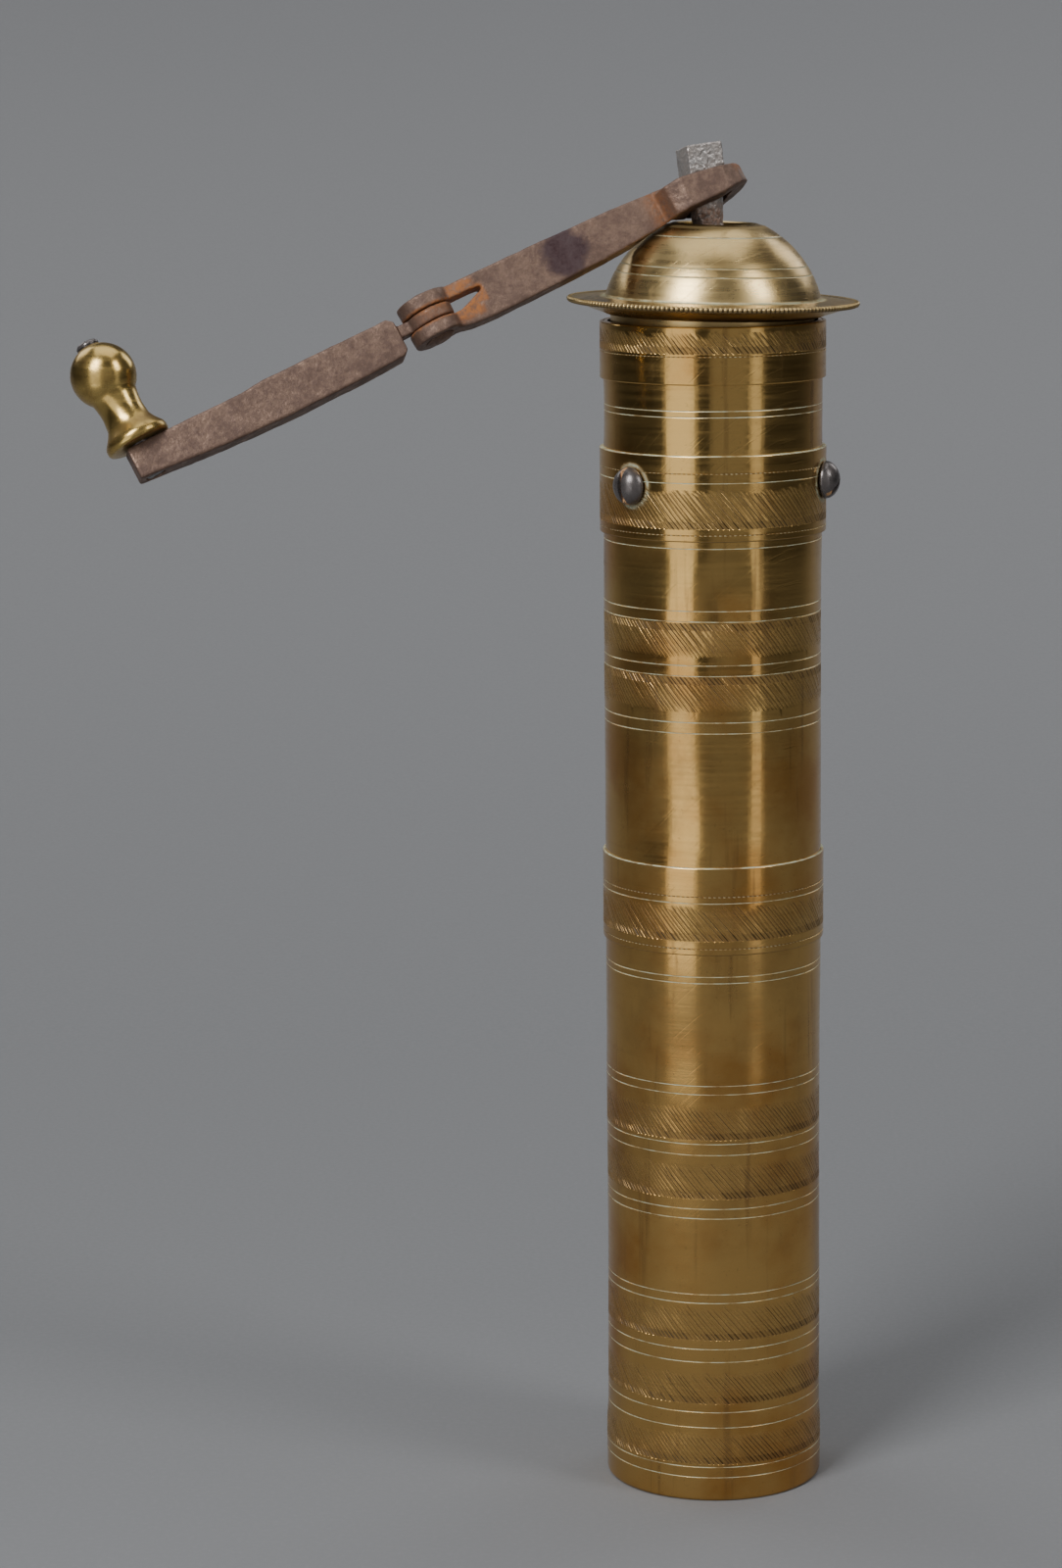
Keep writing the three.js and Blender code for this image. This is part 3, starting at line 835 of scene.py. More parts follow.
@dataclass
class EngravedTube:
    """A turned tube with scribed lines and hatched bands cut into its outside."""

    name: str
    inner: float
    outer: float
    low: float
    high: float
    lines: tuple[float, ...] = ()
    hatches: tuple[Hatch, ...] = ()
    beaded: tuple[float, ...] = ()  # lines cut as a row of dots
    edge: float = 0.25  # rounding of both outer edges
    strokes: int = 144
    slant: float = 0.85  # how far a stroke runs round for each millimetre up
    spacing: float = 3.0  # between rows on plain stretches
    line_half: float = 0.13
    line_depth: float = 0.08
    dot_depth: float = 0.16
    seed: int = 1
    waviness: float = 0.19
    loose: Point = (0.0, 0.0)  # heights between which the wall is free to be uneven
    pale_top: bool = False
    foot_flare: float = 0.0
    flare_heights: Point = (11.9, 17.0)  # where the foot's flare starts and ends to fade
    halos: tuple[Point, ...] = ()  # heading and height of screws with residue round them
    dents: tuple[Dent, ...] = ()

    def stations(self) -> list[float]:
        """Heights of the rows on the outside, dense where something is cut."""
        rows = {self.low + self.edge, self.high - self.edge}
        for z in (*self.lines, *self.beaded):
            rows |= {z + self.line_half * part for part in (-1, -LINE_FLOOR, LINE_FLOOR, 1)}
        for hatch in self.hatches:
            start, end = hatch.tick_zone()
            rows |= {start + step for step in (-0.15, 0.1, 0.5)} | {end - step for step in (0.5, 0.1, -0.15)}
            rows |= {edge + step for edge in (hatch.low, hatch.high) for step in (-0.1, 0.1)}
            rows |= {hatch.low + (hatch.high - hatch.low) * k for k in (0.4, 0.6, 0.8)}
        for _, height in self.halos[:1]:
            rows |= set(np.arange(height - 5.4, height + 5.5, 0.45).round(3))
        ordered = sorted(z for z in rows if self.low + self.edge <= z <= self.high - self.edge)
        filled = []
        for start, end in zip(ordered, ordered[1:]):
            count = max(1, math.ceil((end - start) / self.spacing))
            filled += [start + (end - start) * k / count for k in range(count)]
        return [*filled, ordered[-1]]

    def outline(self) -> list[Point]:
        """The wall's section: up the outside, over the rim and down the bore."""
        edge = self.edge
        foot = [(self.outer - edge, self.low), (self.outer - edge * 0.3, self.low + edge * 0.3)]
        rim = [(self.outer - edge * 0.3, self.high - edge * 0.3), (self.outer - edge, self.high)]
        steps = max(2, math.ceil((self.high - self.low) / 5.0))
        bore = [(self.inner, self.high - (self.high - self.low) * k / steps) for k in range(steps + 1)]
        return [*foot, *((self.outer, z) for z in self.stations()), *rim, *bore]

    def lean(self, z: np.ndarray) -> np.ndarray:
        """How far round the rows are turned at a height, in radians, so that columns follow strokes."""
        total = np.zeros_like(z)
        for hatch in self.hatches:
            total -= self.slant * np.clip(z - hatch.low, 0.0, hatch.high - hatch.low) / self.outer
        return total

    def away(self, angle: np.ndarray, heading: float) -> np.ndarray:
        """How far round the outside each angle is from a heading in degrees, in millimetres."""
        return np.angle(np.exp(1j * (angle - math.radians(heading)))) * self.outer

    def build(self) -> Piece:
        """Spins the tube and engraves it.

        Returns:
            The finished mesh object.
        """
        columns = self.strokes * COLUMNS
        obj = spin_outline(self.name, self.outline(), columns)
        points = read_points(obj)
        radius, angle = polar(points)
        z = points[:, 2]
        stroke, part = np.divmod(np.rint(angle / math.tau * columns).astype(int) % columns, COLUMNS)
        outside = radius > self.outer - self.edge * 0.2
        rng = np.random.default_rng(self.seed)

        pitch = math.tau / self.strokes
        angle = stroke * pitch + np.choose(part, LIPS) * pitch
        depth, grime, residue, hatched = (np.zeros_like(z) for _ in range(4))
        bottom = part == 1
        for hatch in self.hatches:
            inside = outside & (z > hatch.low) & (z < hatch.high)
            strength = rng.uniform(0.6, 1.2, self.strokes)[stroke]
            jitter = rng.uniform(-0.16, 0.16, self.strokes)[stroke] * pitch
            short = rng.uniform(0.0, 1.3, self.strokes)[stroke]
            start, end = hatch.tick_zone()
            ticked = outside & (z > start) & (z < end)
            stroked = inside & ((hatch.high - z if hatch.ticks_low else z - hatch.low) > short)
            depth = np.where(stroked & bottom, np.where(ticked, hatch.ticks, hatch.depth) * strength, depth)
            dirt = np.where(ticked, np.where(bottom, 1.0, 0.45), np.where(bottom, 0.85, 0.12))
            grime = np.where(stroked, dirt * strength, grime)
            hatched = np.where(stroked, 1.0, hatched)
            angle = angle + np.where(inside, jitter, 0.0)
        for line in self.lines:
            inside = self.on_line(outside, z, line)
            depth = np.where(inside, self.line_depth, depth)
            residue = np.where(inside, 1.0, residue)
        for line in self.beaded:
            inside = self.on_line(outside, z, line)
            dotted = part != COLUMNS - 1
            depth = np.where(inside & dotted, self.dot_depth, np.where(inside, 0.03, depth))
            grime = np.where(inside & dotted, 0.7, grime)
            residue = np.where(inside & ~dotted, 0.8, residue)
        if self.pale_top:
            residue = np.where(z > self.high - self.edge * 0.9, 1.0, residue)
            grime = np.where((radius > self.inner + 0.2) & (z < self.low + self.edge * 0.5), 0.9, grime)

        angle = angle + self.lean(z)
        for heading, height in self.halos:
            reach = np.hypot(self.away(angle, heading), z - height)
            residue = np.maximum(residue, np.exp(-(((reach - HALO_RADIUS) / HALO_WIDTH) ** 2)) * outside)
        low, high = self.loose
        free = ease(z, low, low + LOOSE_FADE) * (1 - ease(z, high - LOOSE_FADE, high))
        uneven = self.worn(angle, z) + self.dented(angle, z)
        radius = radius - depth + uneven * np.where(radius > self.outer - 0.3, 1.0, 0.3) * free
        flared = (1 - ease(z, *self.flare_heights)) * (radius > self.outer - 1.0 + self.edge * 0.2)
        radius = radius + self.foot_flare * flared
        points[:, 0] = radius * np.cos(angle)
        points[:, 1] = radius * np.sin(angle)
        write_points(obj, points)
        write_marks(obj, {Mark.GRIME_AND_SHADE: grime, Mark.RESIDUE: residue, Mark.HATCH: hatched})
        smooth(obj, 20.0)
        return obj

    def on_line(self, outside: np.ndarray, z: np.ndarray, line: float) -> np.ndarray:
        """Which vertices lie on the bottom of a line at a height."""
        return outside & (np.abs(z - line) < self.line_half * 0.6)

    def worn(self, angle: np.ndarray, z: np.ndarray) -> np.ndarray:
        """Slow unevenness of hand-drawn sheet, in millimetres.

        Args:
            angle: Headings in radians.
            z: Heights.

        Returns:
            How far the wall stands out at each place.
        """
        rng = np.random.default_rng(self.seed + 50)
        total = np.zeros_like(z)
        for turns in (2, 3, 4, 5, 7, 9, 12):
            phase, drift = rng.uniform(0, math.tau), rng.uniform(-0.09, 0.09)
            total += np.cos(turns * angle + phase + drift * z) * self.waviness * 2 / (turns + 1)
        for length in (17.0, 29.0, 43.0):
            total += np.cos(z / length * math.tau + rng.uniform(0, math.tau)) * self.waviness * 0.15
        return total * 0.5

    def dented(self, angle: np.ndarray, z: np.ndarray) -> np.ndarray:
        """Dents pressed into the wall, in millimetres.

        Args:
            angle: Headings in radians.
            z: Heights.

        Returns:
            How far the wall stands out at each place.
        """
        total = np.zeros_like(z)
        for heading, height, size, depth in self.dents:
            total -= depth * np.exp(-(self.away(angle, heading) ** 2 + (z - height) ** 2) / (2 * size**2))
        return total


@dataclass
class BodyShell:
    """The brass tubes and bands: cup below, barrel and hopper above."""

    tube_inner: float = 24.0
    tube_outer: float = 25.0
    band_gap: float = 0.03
    cup_top: float = 139.0
    barrel_low: float = 139.3
    barrel_top: float = 230.0
    hopper_low: float = 230.3
    top: float = 272.6
    screw_height: float = 236.7
    screw_headings: tuple[float, ...] = (225.0, 345.0, 105.0)
    cup_lines: tuple[float, ...] = (
        5.7, 8.2, 17.7, 21.4, 33.6, 36.7, 47.8, 49.9, 68.0, 70.3, 83.1, 85.7, 97.4, 99.4, 123.5, 125.0,
    )
    cup_hatches: tuple[Hatch, ...] = (
        Hatch(8.9, 16.3), Hatch(23.4, 31.0), Hatch(38.8, 47.0), Hatch(72.6, 81.0), Hatch(86.6, 94.5),
    )
    barrel_lines: tuple[float, ...] = (181.2, 183.7, 194.3, 196.7, 206.6, 209.0, 223.1)
    barrel_hatches: tuple[Hatch, ...] = (
        Hatch(186.1, 194.0, ticks_low=False), Hatch(198.4, 206.2, ticks_low=False),
    )
    barrel_dents: tuple[Dent, ...] = (
        (276.0, 214.0, 5.0, 0.5), (262.0, 205.0, 3.5, 0.45), (284.0, 203.0, 4.0, -0.25),
        (257.0, 217.0, 4.0, -0.2), (249.0, 162.0, 7.0, 0.22), (280.0, 196.0, 2.6, 0.3),
        (262.0, 178.0, 5.0, 0.2),
    )
    cup_dents: tuple[Dent, ...] = (
        (262.0, 78.0, 3.5, 0.25), (256.0, 82.0, 3.0, -0.15), (258.0, 20.0, 4.0, 0.2), (285.0, 110.0, 8.0, 0.18),
        (257.0, 108.0, 9.0, 0.2),
    )

    def tubes(self) -> dict[str, EngravedTube]:
        """Every tube and band, by the CAD node that it stands for."""
        inner, outer, gap = self.tube_inner, self.tube_outer, self.band_gap
        return {
            "cup_tube": EngravedTube(
                "engraved_cup", inner, outer, 0.0, self.cup_top, self.cup_lines, self.cup_hatches,
                edge=0.7, seed=3, dents=self.cup_dents, loose=(2.0, 130.0), foot_flare=0.25,
            ),
            "cup_mouth_band": EngravedTube(
                "cup_socket_band", outer + 0.05, 25.62, 130.1, 150.4, (142.2,), (Hatch(133.4, 141.6),),
                (131.6, 143.7), seed=6, spacing=1.5, pale_top=True,
            ),
            "barrel_tube": EngravedTube(
                "engraved_barrel", inner, outer, self.barrel_low, self.barrel_top, self.barrel_lines,
                self.barrel_hatches, seed=4, dents=self.barrel_dents, loose=(150.6, 224.6), waviness=0.26,
            ),
            "barrel_band": EngravedTube(
                "screw_band", outer + gap, 25.92, 224.7, 244.0, (237.9,), (Hatch(227.6, 236.6),),
                (226.2, 240.0), seed=7, spacing=1.5, pale_top=True,
                halos=tuple((heading, self.screw_height) for heading in self.screw_headings),
            ),
            "hopper_tube": EngravedTube(
                "engraved_hopper", inner, outer, self.hopper_low, self.top, (252.5, 253.9),
                seed=5, line_depth=0.04, loose=(244.2, 259.6),
            ),
            "hopper_mouth_band": EngravedTube(
                "hopper_band", outer + gap, 25.78, 259.7, self.top, (), (Hatch(266.6, 271.4),),
                (266.0,), seed=8, spacing=1.5,
            ),
        }

    def build(self, finishes: Finishes) -> None:
        """Makes every tube and band and hands it to its body."""
        for node, tube in self.tubes().items():
            body = Body.CUP if node.startswith("cup") else Body.BARREL
            ride(tube.build(), body, node, finishes.tube)


# ------------------------------------------------------------------ lid


@dataclass
class Lid:
    """Domed lid with a beaded brim, sitting a little crooked on the hopper."""

    seat: float = 273.7
    tilt: float = 1.5
    base_radius: float = 24.6
    base_height: float = 277.7
    top_height: float = 294.4
    lip_drop: float = 0.5  # from the lip's top down to where the dome ends
    flat_radius: float = 11.4
    hole_radius: float = 9.2
    wall: float = 1.0
    rim_radius: float = 33.28
    rim_height: float = 276.9
    skirt_radius: float = 23.3
    skirt_low: float = 266.5
    beads: int = 190
    bead_depth: float = 0.38
    rings: tuple[float, ...] = (5.6, 7.5, 14.0)  # scribed rings, above the dome's base
    ring_depth: float = 0.14

    def placed(self) -> Matrix:
        """The lid's tilt about its seat."""
        return shift(0, 0, self.seat) @ rotation(self.tilt, "Y")

    def rise(self) -> float:
        """The dome's height from its base to its lip."""
        return self.top_height - self.lip_drop - self.base_height

    def arc(self, inset: float) -> Callable[[float], float]:
        """The dome's radius at a height above its base, for a skin set in from the outside."""
        rise = self.rise()
        below = ((self.base_radius**2 - self.flat_radius**2) - rise**2) / (2 * rise)
        radius = math.hypot(self.base_radius, below) - inset
        return lambda height: math.sqrt(radius**2 - (height + below) ** 2)

    def dome(self) -> Piece:
        """The dome, with scribed rings and a rolled lip round its hole.

        Returns:
            The finished mesh object.
        """
        outer, inner = self.arc(0.0), self.arc(self.wall)
        lift, rise = self.base_height - self.seat, self.rise()
        cuts = {ring + step for ring in self.rings for step in (-0.18, -0.06, 0.06, 0.18)}
        heights = sorted({*cuts, *np.linspace(0.0, rise, 34).round(3)})
        flat, hole, lip = self.flat_radius, self.hole_radius, self.top_height - self.seat
        outline = [
            *((outer(h), lift + h) for h in heights),
            (flat - 0.9, lip - 0.28), (flat - 1.6, lip - 0.05), (hole + 0.5, lip), (hole, lip - 0.3),
            (hole, lip - self.wall),
            *((inner(h), lift + h) for h in np.linspace(rise - self.wall, 0.0, 16)),
        ]
        obj = spin_outline("lid_dome_shell", outline, 192)
        points = read_points(obj)
        radius, _ = polar(points)
        height = points[:, 2] - lift
        residue, grime = np.zeros_like(radius), np.zeros_like(radius)
        for ring in self.rings:
            near = (np.abs(height - ring) < 0.1) & (radius > outer(ring) - 0.5)
            points[near, :2] *= (1 - self.ring_depth / radius[near])[:, None]
            residue[near], grime[near] = 0.6, 0.35
        seam = (1 - ease(height, 0.0, 0.5)) * (radius > self.base_radius - 0.6) * 0.8
        lip_dirt = (np.abs(radius - self.flat_radius) < 0.4) * 0.5
        write_points(obj, points)
        write_marks(obj, {Mark.RESIDUE: np.maximum(residue, seam), Mark.GRIME_AND_SHADE: np.maximum(grime, lip_dirt)})
        smooth(turn(obj, self.placed()), 50.0)
        return obj

    def brim(self) -> Piece:
        """The sloping brim with a milled row of beads along its edge.

        Returns:
            The finished mesh object.
        """
        rim, edge, top = self.rim_radius, self.rim_height - self.seat, self.base_height - self.seat
        bore = self.skirt_radius + 0.03
        outline = [
            (bore, 0.0), (24.3, 0.0), (24.8, 0.25), (28.0, edge * 0.42), (31.0, edge * 0.76),
            (rim - 0.7, edge - 0.75), (rim - 0.25, edge - 0.55), (rim, edge - 0.15), (rim, edge + 0.15),
            (rim - 0.25, edge + 0.5), (rim - 0.7, edge + 0.62), (rim - 1.2, edge + 0.4),
            (rim - 2.2, edge + 0.3), (29.0, edge + 0.45), (26.2, top - 0.12), (25.2, top - 0.06),
            (bore, top - 0.05),
        ]
        obj = spin_outline("lid_beaded_brim", outline, self.beads * 4)
        points = read_points(obj)
        radius, angle = polar(points)
        at_rim = ease(radius, rim - 1.15, rim - 0.6)
        rng = np.random.default_rng(11)
        bead = np.floor((angle / math.tau) % 1.0 * self.beads).astype(int) % self.beads
        strength = rng.uniform(0.7, 1.15, self.beads)[bead]
        valley = (0.5 - 0.5 * np.cos(self.beads * angle)) ** 2
        depth = self.bead_depth * at_rim * valley * strength
        points[:, :2] *= (1 - depth / radius)[:, None]
        points[:, 2] -= depth * 0.8 * np.sign(points[:, 2] - edge)
        write_points(obj, points)
        # The underside of the beaded edge gets painted shade through the grime mark; the valleys between the
        # beads are darkened too.
        painted_underside_shade = (points[:, 2] < edge - 0.3) * at_rim * 0.7
        inner_edge = (1 - ease(radius, 24.8, 26.2)) * (points[:, 2] > edge) * 0.8
        write_marks(obj, {Mark.GRIME_AND_SHADE: np.maximum(at_rim * valley * 0.95, painted_underside_shade), Mark.RESIDUE: inner_edge})
        smooth(turn(obj, self.placed()), 60.0)
        return obj

    def skirt(self) -> Piece:
        """The ring that plugs into the hopper, with a turned-in lower edge.

        Returns:
            The finished mesh object.
        """
        low, high = self.skirt_low - self.seat, self.base_height - self.seat - 0.05
        inner, outer = self.skirt_radius - 0.9, self.skirt_radius
        foot = [(inner + 0.1, low), (outer - 0.4, low), (outer - 0.1, low + 0.25)]
        side = [(outer, z) for z in np.linspace(low + 0.5, high, 12)]
        obj = spin_outline("lid_plug_skirt", [*foot, *side, (inner, high), (inner, low + 0.2)], 144)
        smooth(turn(obj, self.placed()), 50.0)
        return obj

    def build(self, finishes: Finishes) -> None:
        """Makes the lid's pieces and hands them to the lid."""
        for obj, node in ((self.dome(), "lid_dome"), (self.brim(), "lid_brim"), (self.skirt(), "lid_skirt")):
            ride(obj, Body.LID, node, finishes.lid)


# ------------------------------------------------------------------ screws and spindle


@dataclass
class GrinderScrews:
    """Three dome-headed slotted screws through the band into the grinder."""

    height: float = 236.7
    seat: float = 25.93
    head_radius: float = 4.3
    head_height: float = 3.8
    head_side: float = 0.12  # how much of the head's height is its straight side
    shank_radius: float = 2.0
    shank_low: float = -6.0
    slot_width: float = 1.1
    slot_depth: float = 1.5
    edge: float = 0.14
    places: tuple[tuple[str, float, float], ...] = (  # name, heading and turn of the slot
        ("left", 225.0, 5.0), ("right", 345.0, -40.0), ("back", 105.0, 20.0),
    )

    def screw(self, name: str, slot_turn: float) -> Piece:
        """One screw, standing on its shank.

        Args:
            name: The piece's name.
            slot_turn: How far its slot is turned, in degrees.

        Returns:
            The finished mesh object.
        """
        radius, height, side, half = self.head_radius, self.head_height, self.head_side, self.slot_width / 2
        dome = [
            (radius * math.cos(a), height * (side + (1 - side) * math.sin(a)))
            for a in np.linspace(0.0, math.pi / 2, 18)
        ]
        shank = [(0.0, self.shank_low), (self.shank_radius, self.shank_low), (self.shank_radius, 0.0)]
        obj = spin_outline(name, [*shank, (radius * 0.9, 0.0), *dome[:-1], (0.0, height)], 72)
        floor = height - self.slot_depth
        cutter = add_box((-radius - 1, -half, floor), (radius + 1, half, height + 1))
        combine(obj, [turn(cutter, rotation(slot_turn, "Z"))])
        limit = {"limit_method": "ANGLE", "angle_limit": math.radians(40)}
        apply_modifier(obj, "BEVEL", width=self.edge * MM, segments=2, **limit)
        points = read_points(obj)
        heading = math.radians(slot_turn)
        # The slot's floor gets the orange mark: a painted copper glint, a reflection painted into the slot.
        in_slot = (points[:, 2] < floor + 0.05) & (points[:, 2] > height * 0.3)
        across = np.abs(points[:, 0] * math.sin(heading) - points[:, 1] * math.cos(heading))
        write_marks(obj, {Mark.RUST_AND_GLINT: in_slot & (across < half + 0.05)})
        return obj

    def build(self, finishes: Finishes) -> None:
        """Makes a screw for each place and hands it to the barrel."""
        for name, heading, slot_turn in self.places:
            place = rotation(heading, "Z") @ shift(self.seat, 0, self.height) @ rotation(90.0, "Y")
            obj = turn(self.screw(f"dome_screw_{name}", slot_turn), place)
            smooth(obj, 40.0)
            ride(obj, Body.BARREL, f"grinder_screw_{name}", finishes.screw)


@dataclass
class Spindle:
    """Round shaft with a waisted neck and a square head, bent over to the left."""

    shaft_radius: float = 4.5
    shaft_low: float = 216.5
    shaft_high: float = 284.0
    neck_radius: float = 3.4
    flare_radius: float = 4.4
    waist: float = 295.2
    flare: float = 301.6
    head_side: float = 8.3
    head_low: float = 301.2
    head_high: float = 315.4
    head_turn: float = 20.0
    end_height: float = 311.9
    end_slopes: Point = (-2.5, -6.7)  # degrees: falling to the left and to the back
    lean: float = 7.2
    lean_from: float = 286.0

    def head(self) -> Piece:
        """The square head, cut off on a slope.

        Returns:
            The head, before the spindle's bend.
        """
        half, reach = self.head_side / 2, 20
        head = add_box((-half, -half, self.head_low), (half, half, self.head_high))
        above = add_box((-reach, -reach, 0), (reach, reach, reach))
        right, back = self.end_slopes
        slope = rotation(right, "Y") @ rotation(back, "X")
        combine(turn(head, rotation(self.head_turn, "Z")), [turn(above, shift(0, 0, self.end_height) @ slope)])
        return head

    def build(self, finishes: Finishes) -> None:
        """Makes the spindle and hands it to its own body."""
        radius, low, high, neck_radius = self.shaft_radius, self.shaft_low, self.shaft_high, self.neck_radius
        foot = [(0.0, low), (radius - 0.8, low), (radius, low + 1.2)]
        shaft = spin_outline("shaft", [*foot, (radius, high), (neck_radius, high + 3), (0.0, high + 3)], 48)
        neck_low = self.lean_from - 1.5
        neck = spin_outline("neck", [
            (0.0, neck_low), (neck_radius, neck_low), (neck_radius, self.waist - 1),
            (neck_radius + 0.3, self.waist + 1.5), (self.flare_radius, self.flare), (0.0, self.flare),
        ], 40)
        pivot = shift(0, 0, self.lean_from)
        bend = pivot @ rotation(-self.lean, "Y") @ pivot.inverted()
        spindle = weld_all("bent_spindle", [shaft, turn(neck, bend), turn(self.head(), bend)])
        forge(spindle, voxel=0.24, rounding=2, dents=0.08, pits=0.24)
        height = read_points(spindle)[:, 2]
        write_marks(spindle, {Mark.RUST_AND_GLINT: ease(height, 292.5, 294.5) * (1 - ease(height, 296.0, 300.5)) * 0.55})
        smooth(spindle, 60.0)
        ride(spindle, Body.SPINDLE, "spindle", finishes.spindle)


# ------------------------------------------------------------------ crank


@dataclass
class Crank:
    """Folding crank: eye and inner arm, rivet, outer arm, knob pin and knob."""

    pivot: Vector
    along: Vector
    normal: Vector
    pivot_x: float = 70.4
    eye_hole: float = 9.8
    eye_side: tuple[Point, ...] = (
        (-9.4, -3.9), (-2, -4.9), (6, -4.8), (12, -4.5), (12, 2.5), (6.5, 2.7), (-3.6, 1.1), (-9.4, 0.5),
    )
    eye_plan: tuple[Point, ...] = (
        (12, 2.6), (10, 6), (6.5, 7.8), (-3.5, 7.8), (-7.4, 5.6), (-9.3, 2.2), (-9.3, -2.6), (-7.4, -6),
        (-3.5, -8.3), (6.5, -8.3), (10, -6.4), (12, -2.6),
    )
    inner_depth: float = 5.2
    inner_side: tuple[Point, ...] = (
        (6.5, -4.4), (13, -4.7), (20, -5.2), (28, -5.7), (40, -6.0), (56, -6.2), (62, -5.9), (66, -5.1),
        (66, 4.8), (40, 4.5), (20.5, 3.9), (6.5, 3.0),
    )
    fork_radius: float = 5.9
    fork_span: Point = (-4.9, 5.0)
    fork_slot: float = 3.4
    fork_slot_back: float = 13.2
    tongue_radius: float = 5.6
    tongue_thick: float = 2.9
    neck_width: float = 3.8
    outer_depth: float = 6.4
    outer_side: tuple[Point, ...] = (
        (8.2, -4.4), (9.6, -5.6), (20, -6.1), (38, -6.3), (46, -6.1), (54, -5.8), (60, -5.4), (68, -4.8),
        (74.6, -4.3), (74.6, 3.0), (46.6, 3.0), (40.6, 3.6), (9.6, 3.6), (8.2, 2.4),
    )
    rivet_radius: float = 2.2
    rivet_head: tuple[Point, ...] = ((3.5, 0.0), (3.5, 0.2), (2.7, 0.6), (1.6, 0.85), (0.0, 0.9))
    knob_x: float = 70.9
    knob_base: float = 3.4
    knob_radius: float = 7.35
    knob_scale: float = 0.996
    knob_bore: float = 2.35
    ball_height: float = 17.2
    knob_foot: tuple[Point, ...] = (
        (6.6, 0.0), (7.1, 0.15), (7.35, 0.55), (7.35, 1.5), (7.15, 2.1), (6.55, 2.9), (5.8, 3.9), (5.1, 5.2),
        (4.95, 6.6), (4.8, 8.0), (4.85, 9.4), (5.05, 10.8),
    )
    pin_radius: float = 2.29
    pin_low: float = -4.4
    head_turn: float = 20.0
    lean: float = 7.2
    lid_rub: float = 0.6
    rough_voxel: float = 0.3  # before holes are cut
    fine_voxel: float = 0.27  # after
    through: float = 12.0  # reach of a cutter that goes right through an arm

    def placed(self, offset: float = 0.0) -> Matrix:
        """The crank's axes at the eye, or moved along the arms by an offset."""
        side = self.normal.cross(self.along)
        turned = Matrix((self.along, side, self.normal)).transposed().to_4x4()
        start = self.pivot + self.along * (offset - self.pivot_x) * MM
        return Matrix.Translation(start) @ turned

    def drill(self, radius: float, x: float = 0.0) -> Piece:
        """A rod to cut a hole through an arm with."""
        return add_rod(radius, -self.through, self.through, x)

    def lid_sweep(self) -> Piece:
        """What the lid sweeps, with a little clearance, in the crank's own axes.

        Returns:
            The closed swept shape.
        """
        lid = Lid()
        rise, low = lid.rise(), lid.base_height
        tilt = lid.flat_radius * math.sin(math.radians(lid.tilt))
        skin = lid.arc(-self.lid_rub)
        high = lid.top_height + self.lid_rub + tilt
        outline = [(0.0, low), (skin(0.0), low)]
        outline += [(skin(rise * k), low + rise * k + tilt) for k in np.linspace(0.1, 0.95, 12)]
        outline += [(lid.flat_radius, high), (0.0, high)]
        return turn(spin_outline("lid_sweep", outline, 96), self.placed().inverted())

    def eye(self) -> Piece:
        """The square eye block, cut to its plan."""
        eye = extrude_outline("eye", self.eye_side, -10, 10, on_edge=True)
        combine(eye, [extrude_outline("eye_plan", self.eye_plan, -8, 8, on_edge=False)], "INTERSECT")
        return eye

    def eye_cutter(self) -> Piece:
        """The square hole, true to the spindle's head."""
        half = self.eye_hole / 2
        hole = add_box((-half, -half, -self.through), (half, half, self.through))
        true_to_head = rotation(-self.lean, "Y") @ rotation(self.head_turn, "Z")
        return turn(hole, self.placed().to_3x3().to_4x4().inverted() @ true_to_head)

    def fork_cutter(self) -> Piece:
        """The fork's slot, which narrows to a wedge behind the tongue."""
        back, front, gap = self.pivot_x - self.fork_slot_back, self.pivot_x + 9, self.fork_slot / 2
        wedge = [(back, 1.5), (back, 0.6), (back + 6.2, -gap), (front, -gap), (front, gap), (back + 2.5, gap)]
        return extrude_outline("slot", wedge, -9, 9, on_edge=True)

    def inner_arm(self) -> Piece:
        """Square eye block, flat bar and forked end, forged in one and worn where it passes the lid.

        Returns:
            The arm, in the crank's own axes.
        """
        half = self.inner_depth / 2
        eye = self.eye()
        bar = extrude_outline("inner_bar", self.inner_side, -half, half, on_edge=True)
        disc = add_rod(self.fork_radius, *self.fork_span, self.pivot_x)
        arm = weld_all("forged_inner_arm", [eye, bar, disc])
        remesh(arm, self.rough_voxel)
        rivet_hole = self.drill(self.rivet_radius + 0.03, self.pivot_x)
        combine(arm, [self.eye_cutter(), self.fork_cutter(), rivet_hole, self.lid_sweep()])
        forge(arm, self.fine_voxel, rounding=4, dents=0.14, pits=0.035)
        x, _, z = read_points(arm).T
        slot_end = self.pivot_x - self.fork_slot_back
        beside_slot = ease(x, slot_end + 0.5, slot_end + 2.5) * (1 - ease(x, slot_end + 7, slot_end + 8.5))
        fork_rust = beside_slot * (1 - ease(np.abs(z), 3.4, 5.4))
        lips = ease(x, slot_end - 0.8, slot_end) * (1 - ease(np.abs(z), 1.8, 2.6)) * 0.9
        step_rust = bell(x, 12.5, 4.5) * 0.55
        nose_rust = (1 - ease(x, -7.8, -6.0)) * ease(z, -2.5, 0.5) * 0.7
        write_marks(arm, {Mark.RUST_AND_GLINT: np.maximum.reduce([fork_rust, lips, step_rust, nose_rust])})
        return arm

